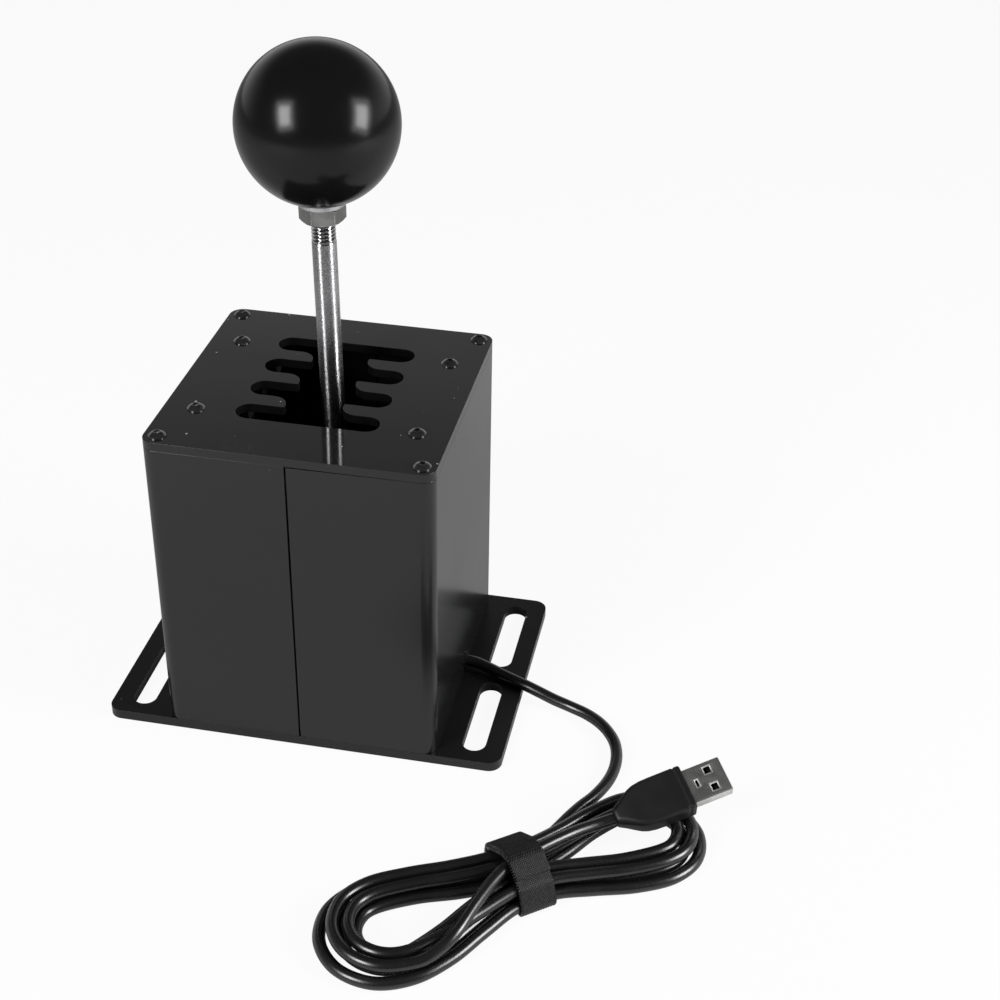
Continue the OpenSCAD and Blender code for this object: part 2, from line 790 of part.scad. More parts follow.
// Outline at a distance r round the corners of a convex shape
function bent_round(shape, r) = [for (i = [0 : len(shape) - 1])
    let (start = outward(shape, (i + len(shape) - 1) % len(shape)),
         swing = (outward(shape, i) - start + 720) % 360)
    for (k = [0 : bend_steps])
        let (turn = start + swing * k / bend_steps)
        shape[i] + r * [cos(turn), sin(turn)]];

// Direction that an edge of a shape faces
function outward(shape, i) =
    let (edge = shape[(i + 1) % len(shape)] - shape[i])
    atan2(edge[1], edge[0]) - 90;

function strand_at_tie(u) = loop_half_w(u) - loop_draw(u) * spread(tie_w / 2);

module cable_tie() {
    low = cable_r + tie_lift;
    high = low + layer_step;
    crest = max([for (p = lead_route) p[2]]);
    core = [[-strand_at_tie(0.5), low], [strand_at_tie(0), low], [strand_at_tie(2 * hank_loops - 1), high],
            [lead_at_tie[1], crest], [lead_at_tie[0], crest], [-strand_at_tie(2 * hank_loops - 1.5), high]];
    color("#0f0f0f") in_hank() translate([-tie_w / 2, 0, 0]) rotate([90, 0, 90])
        linear_extrude(tie_w) difference() {
            polygon(bent_round(core, tie_bend_r + tie_t));
            polygon(bent_round(core, tie_bend_r));
        }
}

module in_plug() {
    in_hank() translate(plug_tail) rotate(plug_tilt) children();
}

module plug_grip() {
    color("#151515") in_plug() translate([0, 0, -grip_h / 2]) linear_extrude(grip_h)
        polygon([[0, -grip_tail_w / 2], [grip_taper, -grip_w / 2], [grip_l, -grip_w / 2],
                 [grip_l, grip_w / 2], [grip_taper, grip_w / 2], [0, grip_tail_w / 2]]);
}

module plug_shell() {
    color("#c2c4c6") in_plug() translate([grip_l, 0, 0]) difference() {
        translate([0, -plug_shell_w / 2, -plug_shell_h / 2]) cube([plug_l, plug_shell_w, plug_shell_h]);
        translate([-tuck, plug_wall - plug_shell_w / 2, plug_wall - plug_shell_h / 2])
            cube([plug_l + 2 * tuck, plug_shell_w - 2 * plug_wall, plug_shell_h - 2 * plug_wall]);
        for (s = [-1, 1])
            translate([plug_l - latch_from_mouth, s * plug_shell_w / 4, 0])
                cube([latch_hole, latch_hole, 2 * plug_shell_h], center = true);
        translate([plug_l / 4, 0, plug_shell_h / 2])
            cube([key_slot_w, latch_hole, 2 * plug_wall + tuck], center = true);
    }
}

module plug_tongue() {
    inset = plug_wall + plug_room;
    color("#e4e4e0") in_plug() translate([grip_l, inset - plug_shell_w / 2, inset - plug_shell_h / 2])
        cube([plug_l - tuck, plug_shell_w - 2 * inset, tongue_h]);
}

module on_carriage() {
    translate([0, rest_y, pivot_z]) children();
}

module sliding_sleeve() {
    color("#b58a3c") on_carriage() difference() {
        union() {
            rod_y(sleeve_r, -sleeve_l / 2, sleeve_l / 2);
            rod_y(flange_r, sleeve_l / 2 - flange_t, sleeve_l / 2);
        }
        rod_y(shaft_d / 2 + run_gap, -sleeve_l, sleeve_l);
        ring_y(sleeve_r - groove_depth, flange_r, groove_front, groove_front + ring_t);
    }
}

module sleeve_ring() {
    color("#5a5c60") on_carriage()
        ring_y(sleeve_r - groove_depth + run_gap, sleeve_r + ring_rise, groove_front + face_gap / 2,
               groove_front + ring_t - face_gap / 2);
}

module on_lever() {
    on_carriage() rotate([0, rest_lean, 0]) children();
}

module lever_hub() {
    color("#6e7174") on_lever() difference() {
        union() {
            rod_y(hub_r, hub_front, hub_rear);
            translate([-socket_d / 2, hub_front, 0]) cube([socket_d, hub_rear - hub_front, socket_z + 2]);
            translate([0, 0, socket_z]) cylinder(d = socket_d, h = socket_h - socket_z);
        }
        rod_y(sleeve_r + run_gap, -sleeve_l, sleeve_l);
        translate([0, 0, rod_foot - 0.5]) cylinder(r = rod_d / 2 + run_gap / 2, h = socket_h);
        translate([0, 0, set_screw_z]) rod_x(set_screw_d / 2 + thread_gap, 0, socket_d);
    }
}

module friction_washer() {
    color("#8a6d3b") on_lever()
        ring_y(sleeve_r + 2 * run_gap, flange_r - 0.5, hub_rear + face_gap, hub_rear + face_gap + friction_t);
}

module hub_set_screw() {
    tip = rod_d / 2 + face_gap;
    color("#101010") on_lever() translate([0, 0, set_screw_z]) difference() {
        rod_x(set_screw_d / 2, tip, socket_d / 2);
        translate([socket_d / 2 - 1.5, 0, 0]) rotate([0, 90, 0])
            cylinder(d = socket_af / cos(30), h = 2, $fn = 6);
    }
}

// Profile of the threaded end, one crest for each pitch
module thread_plan() {
    turns = floor((rod_top - thread_foot) / thread_pitch);
    ridges = [for (k = [0 : turns - 1]) each [
        [neck_r, thread_foot + (k + 0.1) * thread_pitch],
        [crest_r, thread_foot + (k + 0.5) * thread_pitch],
        [crest_r, thread_foot + (k + 0.6) * thread_pitch]]];
    polygon(concat([[0, thread_foot - tuck], [neck_r, thread_foot - tuck]], ridges,
                   [[neck_r, rod_top], [0, rod_top]]));
}

module lever_rod() {
    shoulder = rod_d / 2 - neck_r;
    color("#d6d8da") on_lever() {
        translate([0, 0, rod_foot]) cylinder(d = rod_d, h = thread_foot - shoulder - rod_foot);
        translate([0, 0, thread_foot - shoulder]) cylinder(r1 = rod_d / 2, r2 = neck_r, h = shoulder);
        rotate_extrude() thread_plan();
    }
}

module jam_nut() {
    nut_r = nut_af / 2 / cos(30);
    color("#c4c6c8") on_lever() translate([0, 0, nut_foot]) rotate(nut_turn) difference() {
        intersection() {
            cylinder(r = nut_r, h = nut_h, $fn = 6);
            union() {
                cylinder(r1 = nut_af / 2, r2 = nut_af / 2 + nut_h, h = nut_h / 2);
                translate([0, 0, nut_h / 2])
                    cylinder(r1 = nut_af / 2 + nut_h, r2 = nut_af / 2, h = nut_h / 2);
            }
        }
        translate([0, 0, -tuck]) cylinder(r = crest_r + thread_gap, h = nut_h + 2 * tuck);
    }
}

module knob_washer() {
    color("#cfd1d3") on_lever() translate([0, 0, nut_top]) difference() {
        cylinder(d = knob_washer_d, h = knob_washer_t);
        translate([0, 0, -tuck]) cylinder(r = crest_r + 2 * thread_gap, h = knob_washer_t + 2 * tuck);
    }
}

module knob() {
    color("#0b0b0c") on_lever() difference() {
        translate([0, 0, lever_l]) sphere(d = knob_d, $fn = 128);
        translate([0, 0, knob_flat - knob_d]) cylinder(d = 2 * knob_d, h = knob_d);
        translate([0, 0, knob_flat - tuck]) cylinder(r = insert_d / 2 + run_gap / 2, h = insert_l + tuck);
    }
}

module knob_insert() {
    color("#b58a3c") on_lever() translate([0, 0, knob_flat]) difference() {
        cylinder(d = insert_d, h = insert_l);
        translate([0, 0, -tuck]) cylinder(r = crest_r + thread_gap, h = insert_l - 1 + tuck);
    }
}

base_plate();
gate_plate();
left_shell();
right_shell();
corner_posts();
corner_screws();
base_screws();
tab_screws();
inner_screws();
left_rail();
right_rail();
position_sensors();
front_bracket();
rear_bracket();
bracket_screws();
pivot_shaft();
shaft_rings();
front_spring();
rear_spring();
controller_board();
board_spacers();
board_screws();
board_chips();
board_headers();
ribbon_leads();
inner_lead();
cable_grommet();
cable();
cable_hank();
cable_tie();
plug_grip();
plug_shell();
plug_tongue();
sliding_sleeve();
sleeve_ring();
lever_hub();
friction_washer();
hub_set_screw();
lever_rod();
jam_nut();
knob_washer();
knob();
knob_insert();
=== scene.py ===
"""Looks of an H-pattern gear shifter: finishes, cable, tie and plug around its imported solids."""

import logging
import math
from dataclasses import dataclass
from enum import Enum
from typing import Iterable, Sequence

import bmesh
import bpy
from mathutils import Euler, Matrix, Vector


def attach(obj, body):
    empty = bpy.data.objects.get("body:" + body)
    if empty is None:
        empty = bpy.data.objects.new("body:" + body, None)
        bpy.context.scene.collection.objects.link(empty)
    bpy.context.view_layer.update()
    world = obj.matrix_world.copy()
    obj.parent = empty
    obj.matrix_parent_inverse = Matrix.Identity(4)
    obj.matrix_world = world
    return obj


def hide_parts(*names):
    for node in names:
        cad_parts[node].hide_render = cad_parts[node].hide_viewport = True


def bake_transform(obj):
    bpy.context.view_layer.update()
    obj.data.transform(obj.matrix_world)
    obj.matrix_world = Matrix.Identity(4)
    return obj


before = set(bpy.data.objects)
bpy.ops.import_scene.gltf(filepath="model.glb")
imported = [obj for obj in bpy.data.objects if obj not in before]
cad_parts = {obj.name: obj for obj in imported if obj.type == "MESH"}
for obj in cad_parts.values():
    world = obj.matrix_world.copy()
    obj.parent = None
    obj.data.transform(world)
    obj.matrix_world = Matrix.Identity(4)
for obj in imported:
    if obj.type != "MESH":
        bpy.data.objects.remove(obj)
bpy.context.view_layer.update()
log = logging.getLogger("gear_shifter")

MM = 0.001
QUARTER_TURN = 0.25
CORNER_STEPS = 5
SHARP = 35.0

Colour = tuple[float, float, float]
Point = tuple[float, float, float]
Socket = bpy.types.NodeSocket
Value = float | Sequence[float] | Socket


def grey(level: float) -> tuple[float, float, float, float]:
    """Gives an even grey with its alpha."""
    return level, level, level, 1.0


class Body(Enum):
    """The bodies that pieces ride on."""

    HOUSING = "housing"
    CARRIAGE = "carriage"
    LEVER = "lever"


class Graph:
    """Adds nodes to one node tree and wires them."""

    def __init__(self, tree: bpy.types.NodeTree) -> None:
        """Keeps the tree that the nodes go into."""
        self.tree = tree

    def put(self, socket: Socket, value: Value) -> None:
        """Wires a socket, or sets its value."""
        if isinstance(value, bpy.types.NodeSocket):
            self.tree.links.new(value, socket)
        else:
            socket.default_value = value

    def add(self, kind: str, inputs: dict[str | int, Value] | None = None,
            **settings: object) -> bpy.types.Node:
        """Adds one node.

        Args:
            kind: Blender's name of the node type, without its prefix.
            inputs: values or sockets, by input name or place.
            settings: properties of the node.

        Returns:
            The new node.
        """
        node = self.tree.nodes.new(f"ShaderNode{kind}")
        for name, value in settings.items():
            setattr(node, name, value)
        for key, value in (inputs or {}).items():
            self.put(node.inputs[key], value)
        return node

    def math(self, operation: str, first: Value, second: Value = 0.0) -> Socket:
        """Adds a math node.

        Args:
            operation: Blender's name of the operation.
            first: the first term.
            second: the second term, where the operation has one.

        Returns:
            The node's result.
        """
        return self.add("Math", {0: first, 1: second}, operation=operation).outputs[0]

    def remap(self, value: Socket, low: float, high: float, to_low: Value = 0.0,
              to_high: Value = 1.0) -> Socket:
        """Maps a range smoothly onto another.

        Args:
            value: what is mapped.
            low: the value that gives to_low.
            high: the value that gives to_high.
            to_low: result at and below low.
            to_high: result at and above high.

        Returns:
            The mapped value.
        """
        inputs = {"Value": value, "From Min": low, "From Max": high, "To Min": to_low, "To Max": to_high}
        return self.add("MapRange", inputs, interpolation_type="SMOOTHSTEP").outputs[0]

    def mix(self, mask: Value, first: Value, second: Value) -> Socket:
        """Mixes two colours.

        Args:
            mask: 0 gives the first colour, 1 the second.
            first: the first colour, with its alpha.
            second: the second colour, with its alpha.

        Returns:
            The mixed colour.
        """
        node = self.add("Mix", {0: mask, 6: first, 7: second}, data_type="RGBA")
        return node.outputs[2]

    def place(self) -> Socket:
        """Gives the place on the object, in metres."""
        return self.add("TexCoord").outputs["Object"]

    def noise(self, place: Socket, scale: Value, detail: float = 2.0) -> Socket:
        """Adds a noise texture.

        Args:
            place: where it is read.
            scale: waves for each metre.
            detail: number of finer layers.

        Returns:
            The noise, around 0.5.
        """
        return self.add("TexNoise", {"Vector": place, "Scale": scale, "Detail": detail}).outputs[0]

    def stretched(self, place: Socket, stretch: Point) -> Socket:
        """Scales a place along each axis, for marks that are longer one way."""
        return self.add("Mapping", {"Vector": place, "Scale": stretch}).outputs[0]


class Effect(Enum):
    """Surface effects that several finishes share, each one node group."""

    GLOSS_DRIFT = "gloss_drift"
    DUST = "dust"
    # Edge wear, and on the black screws also a painted highlight along the rims.
    EDGE_RUB = "edge_rub"
    GRAIN = "grain"


class EffectGroups:
    """Builds each shared effect once, as a shader node group."""

    patch_share, fine_share = 0.7, 0.3
    fine_ratio = 14.0
    least_roughness = 0.02
    least_speck = 0.4
    flat_edge, round_edge = 0.995, 0.9
    rub_scale, rub_detail = 420.0, 4.0
    rub_from, rub_to = 0.42, 0.7
    wide_ratio = 0.06

    def __init__(self) -> None:
        """Builds all the groups."""
        self.trees = {
            Effect.GLOSS_DRIFT: self.gloss_drift(),
            Effect.DUST: self.dust(),
            Effect.EDGE_RUB: self.edge_rub(),
            Effect.GRAIN: self.grain(),
        }

    @staticmethod
    def start(effect: Effect, inputs: dict[str, float],
              output: str) -> tuple[Graph, bpy.types.Node, bpy.types.Node]:
        """Opens a new group.

        Args:
            effect: which effect it is.
            inputs: the input values by name, with their defaults.
            output: name of its one output.

        Returns:
            The group's graph, its input node and its output node.
        """
        tree = bpy.data.node_groups.new(effect.value, "ShaderNodeTree")
        for name, value in inputs.items():
            socket = tree.interface.new_socket(name, in_out="INPUT", socket_type="NodeSocketFloat")
            socket.default_value = value
        tree.interface.new_socket(output, in_out="OUTPUT", socket_type="NodeSocketFloat")
        return Graph(tree), tree.nodes.new("NodeGroupInput"), tree.nodes.new("NodeGroupOutput")

    def gloss_drift(self) -> bpy.types.NodeTree:
        """Roughness that wanders in soft patches and fine cloud."""
        values = {"Roughness": 0.3, "Spread": 0.1, "Scale": 60.0}
        graph, given, result = self.start(Effect.GLOSS_DRIFT, values, "Roughness")
        place = graph.place()
        patches = graph.noise(place, given.outputs["Scale"], 3.0)
        fine = graph.noise(place, graph.math("MULTIPLY", given.outputs["Scale"], self.fine_ratio), 2.0)
        both = graph.math("ADD", graph.math("MULTIPLY", patches, self.patch_share),
                          graph.math("MULTIPLY", fine, self.fine_share))
        shift = graph.math("MULTIPLY", graph.math("SUBTRACT", both, 0.5), given.outputs["Spread"])
        total = graph.math("ADD", given.outputs["Roughness"], graph.math("MULTIPLY", shift, 2.0))
        graph.put(result.inputs[0], graph.math("MAXIMUM", total, self.least_roughness))
        return graph.tree

    def dust(self) -> bpy.types.NodeTree:
        """Mask of loose specks, one in some cells of a scattered grid."""
        graph, given, result = self.start(Effect.DUST, {"Scale": 200.0, "Share": 0.1, "Size": 0.12}, "Mask")
        cells = graph.add("TexVoronoi", {"Vector": graph.place(), "Scale": given.outputs["Scale"]})
        chosen = graph.add("SeparateColor", {0: cells.outputs["Color"]})
        present = graph.math("LESS_THAN", chosen.outputs[0], given.outputs["Share"])
        grown = graph.math("ADD", chosen.outputs[1], self.least_speck)
        reach = graph.math("MULTIPLY", given.outputs["Size"], grown)
        inside = graph.math("LESS_THAN", cells.outputs["Distance"], reach)
        graph.put(result.inputs[0], graph.math("MULTIPLY", present, inside))
        return graph.tree

    def edge_rub(self) -> bpy.types.NodeTree:
        """Mask of edges that hands and tools have rubbed, which on the black screws is also a painted
        highlight along their rims.
        """
        graph, given, result = self.start(Effect.EDGE_RUB, {"Width": 0.0004, "Amount": 0.5}, "Mask")
        rounded = graph.add("Bevel", {"Radius": given.outputs["Width"]}, samples=6)
        flat = graph.add("NewGeometry").outputs["Normal"]
        facing = graph.add("VectorMath", {0: rounded.outputs[0], 1: flat}, operation="DOT_PRODUCT")
        edge = graph.remap(facing.outputs["Value"], self.flat_edge, self.round_edge)
        patches = graph.noise(graph.place(), self.rub_scale, self.rub_detail)
        patchy = graph.remap(patches, self.rub_from, self.rub_to)
        rubbed = graph.math("MULTIPLY", edge, patchy)
        graph.put(result.inputs[0], graph.math("MULTIPLY", rubbed, given.outputs["Amount"]))
        return graph.tree

    def grain(self) -> bpy.types.NodeTree:
        """Height of a fine even grain."""
        graph, given, result = self.start(Effect.GRAIN, {"Scale": 1500.0, "Soft": 0.3}, "Height")
        place = graph.place()
        fine = graph.noise(place, given.outputs["Scale"], 2.0)
        wide = graph.noise(place, graph.math("MULTIPLY", given.outputs["Scale"], self.wide_ratio), 1.0)
        low = graph.math("MULTIPLY", wide, given.outputs["Soft"])
        graph.put(result.inputs[0], graph.math("ADD", fine, low))
        return graph.tree


@dataclass(frozen=True)
class Finish:
    """One surface finish: its colours, its gloss and its small marks."""

    name: str
    colour: Colour
    second: Colour
    roughness: float
    metallic: float = 0.0
    specular: float = 0.5
    coat: float = 0.0
    coat_roughness: float = 0.08
    drift: float = 0.05
    drift_scale: float = 60.0
    grain_scale: float = 1500.0
    grain_depth: float = 0.00001
    dust_share: float = 0.0
    dust_scale: float = 220.0
    dust_size: float = 0.1
    dust_colour: Colour = (0.35, 0.35, 0.34)
    rub: float = 0.0
    rub_width: float = 0.0004
    rub_colour: Colour = (0.22, 0.22, 0.22)

    def colours(self, graph: Graph) -> Socket:
        """Gives the colour under the marks, drifting between the two colours."""
        drift = graph.remap(graph.noise(graph.place(), self.drift_scale * 0.8, 4.0), 0.35, 0.65)
        return graph.mix(drift, (*self.colour, 1.0), (*self.second, 1.0))

    def height(self, graph: Graph, groups: EffectGroups) -> Socket:
        """Gives the height of the surface's grain."""
        return self.effect(graph, groups, Effect.GRAIN, {"Scale": self.grain_scale}).outputs[0]

    def shade(self, graph: Graph, shader: bpy.types.Node) -> Socket:
        """Gives the finished shader, where a special finish adds to it."""
        return shader.outputs[0]

    @staticmethod
    def effect(graph: Graph, groups: EffectGroups, effect: Effect,
               values: dict[str, Value]) -> bpy.types.Node:
        """Places a shared effect in this finish.

        Args:
            graph: the material's graph.
            groups: the shared effects.
            effect: which effect.
            values: its inputs by name.

        Returns:
            The group's node.
        """
        node = graph.add("Group", node_tree=groups.trees[effect])
        for name, value in values.items():
            graph.put(node.inputs[name], value)
        return node

    def marked(self, graph: Graph, groups: EffectGroups, colour: Socket) -> Socket:
        """Lays dust and rubbed edges over a colour; on the black screws the pale edges are also a painted
        highlight.

        Args:
            graph: the material's graph.
            groups: the shared effects.
            colour: the colour under the marks.

        Returns:
            The colour with its marks.
        """
        if self.rub:
            values = {"Width": self.rub_width, "Amount": self.rub}
            mask = self.effect(graph, groups, Effect.EDGE_RUB, values).outputs[0]
            colour = graph.mix(mask, colour, (*self.rub_colour, 1.0))
        if self.dust_share:
            values = {"Scale": self.dust_scale, "Share": self.dust_share, "Size": self.dust_size}
            mask = self.effect(graph, groups, Effect.DUST, values).outputs[0]
            colour = graph.mix(mask, colour, (*self.dust_colour, 1.0))
        return colour

    def build(self, groups: EffectGroups) -> bpy.types.Material:
        """Makes the material.

        Args:
            groups: the shared effects.

        Returns:
            The new material.
        """
        material = bpy.data.materials.new(self.name)
        material.use_nodes = True
        tree = material.node_tree
        tree.nodes.clear()
        graph = Graph(tree)
        values = {"Roughness": self.roughness, "Spread": self.drift, "Scale": self.drift_scale}
        gloss = self.effect(graph, groups, Effect.GLOSS_DRIFT, values).outputs[0]
        bump = graph.add("Bump", {"Distance": self.grain_depth, "Height": self.height(graph, groups)})
        shader = graph.add("BsdfPrincipled", {
            "Base Color": self.marked(graph, groups, self.colours(graph)),
            "Metallic": self.metallic,
            "Roughness": gloss,
            "Normal": bump.outputs[0],
            "Specular IOR Level": self.specular,
            "Coat Weight": self.coat,
            "Coat Roughness": self.coat_roughness,
        })
        output = graph.add("OutputMaterial")
        tree.links.new(self.shade(graph, shader), output.inputs["Surface"])
        return material


@dataclass(frozen=True)
class GroundSteel(Finish):
    """Bar ground round its axis, so that highlights draw out along it."""

    rings_scale: float = 5200.0
    stretch: float = 0.9
    streak_stretch: float = 1.0
    streak_roughness: float = 0.31
    streak_colour: Colour = (0.9, 0.9, 0.91)
    streak_share: float = 0.5

    def height(self, graph: Graph, groups: EffectGroups) -> Socket:
        """Gives the gate plate's outer edge the shells' paint and its slot walls a near-black matt finish
        that paints the shade inside the slots.
        """
        rings = graph.stretched(graph.place(), (0.04, 0.04, 1.0))
        return graph.noise(rings, self.rings_scale, 3.0)

    def shade(self, graph: Graph, shader: bpy.types.Node) -> Socket:
        """Draws the gloss out along the bar, and more so in fine sparkling streaks.

        Args:
            graph: the material's graph.
            shader: the plain shader.

        Returns:
            The mixed shader.
        """
        tangent = graph.add("Tangent", direction_type="RADIAL", axis="Z").outputs[0]
        streaks = graph.add("BsdfPrincipled", {
            "Base Color": (*self.streak_colour, 1.0), "Metallic": 1.0, "Roughness": self.streak_roughness,
            "Anisotropic": self.streak_stretch, "Anisotropic Rotation": QUARTER_TURN, "Tangent": tangent})
        graph.put(shader.inputs["Tangent"], tangent)
        graph.put(shader.inputs["Anisotropic"], self.stretch)
        graph.put(shader.inputs["Anisotropic Rotation"], QUARTER_TURN)
        grains = graph.noise(graph.stretched(graph.place(), (0.5, 0.5, 1.0)), self.rings_scale, 2.0)
        mask = graph.math("MULTIPLY", graph.remap(grains, 0.4, 0.62), self.streak_share)
        return graph.add("MixShader", {0: mask, 1: shader.outputs[0], 2: streaks.outputs[0]}).outputs[0]


@dataclass(frozen=True)
class ScuffedPaint(Finish):
    """Smooth paint with a rubbed spot where the lever side is handled."""

    scuff_at: Point = (-0.014, -0.047, 0.1128)
    scuff_reach: float = 0.011
    scuff_depth: float = 0.12

    def marked(self, graph: Graph, groups: EffectGroups, colour: Socket) -> Socket:
        """Adds the scuffed spot to the other marks.

        Args:
            graph: the material's graph.
            groups: the shared effects.
            colour: the colour under the marks.

        Returns:
            The colour with its marks.
        """
        colour = super().marked(graph, groups, colour)
        place = graph.place()
        away = graph.add("VectorMath", {0: place, 1: self.scuff_at}, operation="DISTANCE").outputs["Value"]
        near = graph.remap(away, self.scuff_reach, self.scuff_reach * 0.3)
        flecks = graph.remap(graph.noise(graph.stretched(place, (4.0, 1.0, 0.25)), 900.0, 2.0), 0.58, 0.75)
        spot = graph.math("MULTIPLY", graph.math("MULTIPLY", near, flecks), self.scuff_depth)
        return graph.mix(spot, colour, (*self.dust_colour, 1.0))


@dataclass(frozen=True)
class WovenStrap(Finish):
    """Hook-and-loop strap, with a painted highlight on the crowns of the yarns that its mesh has, over
    painted shade in their hollows.
    """

    def weave(self, graph: Graph) -> Socket:
        """Gives the crowns of yarns that cross aslant, from 0 to 1, by the yarns counted in the UV map."""
        yarns = graph.add("SeparateXYZ", {0: graph.add("UVMap", uv_map="weave").outputs[0]})
        waves = [graph.math("COSINE", graph.math("MULTIPLY", yarns.outputs[way], math.pi)) for way in (0, 1)]
        return graph.remap(graph.math("MULTIPLY", *waves), -0.15, -0.9)

    def colours(self, graph: Graph) -> Socket:
        """Gives a painted highlight on the yarns' crowns over painted shade in their hollows, brighter on
        some crowns than on others.
        """
        # Painted highlight on the yarns' crowns, made uneven by noise; the hollows get painted shade.
        worn = graph.remap(graph.noise(graph.place(), 900.0, 2.0), 0.35, 0.75, 0.35, 1.0)
        crown = graph.math("MULTIPLY", self.weave(graph), worn)
        return graph.mix(crown, (*self.colour, 1.0), (*self.second, 1.0))

    def height(self, graph: Graph, groups: EffectGroups) -> Socket:
        """Gives the height of the yarns."""
        return self.weave(graph)


@dataclass(frozen=True)
class BoardLacquer(Finish):
    """Green circuit board with pale tracks under its lacquer."""

    track_scale: float = 260.0

    def colours(self, graph: Graph) -> Socket:
        """Gives the lacquer with thin tracks."""
        bricks = graph.add("TexBrick", {
            "Vector": graph.place(), "Scale": self.track_scale, "Mortar Size": 0.05,
            "Color1": (*self.colour, 1.0), "Color2": (*self.colour, 1.0), "Mortar": (*self.second, 1.0)})
        return bricks.outputs["Color"]


@dataclass(frozen=True)
class RibbonLead(Finish):
    """Flat lead of side-by-side wires, with painted shade in the grooves between them."""

    wire_scale: float = 780.0
    wave_radians: float = 6.283

    def colours(self, graph: Graph) -> Socket:
        """Gives painted shade in the grooves between the wires."""
        inputs = {"Vector": graph.place(), "Scale": self.wire_scale / self.wave_radians}
        wave = graph.add("TexWave", inputs, bands_direction="Y")
        return graph.mix(graph.remap(wave.outputs[1], 0.1, 0.4), (*self.second, 1.0), (*self.colour, 1.0))


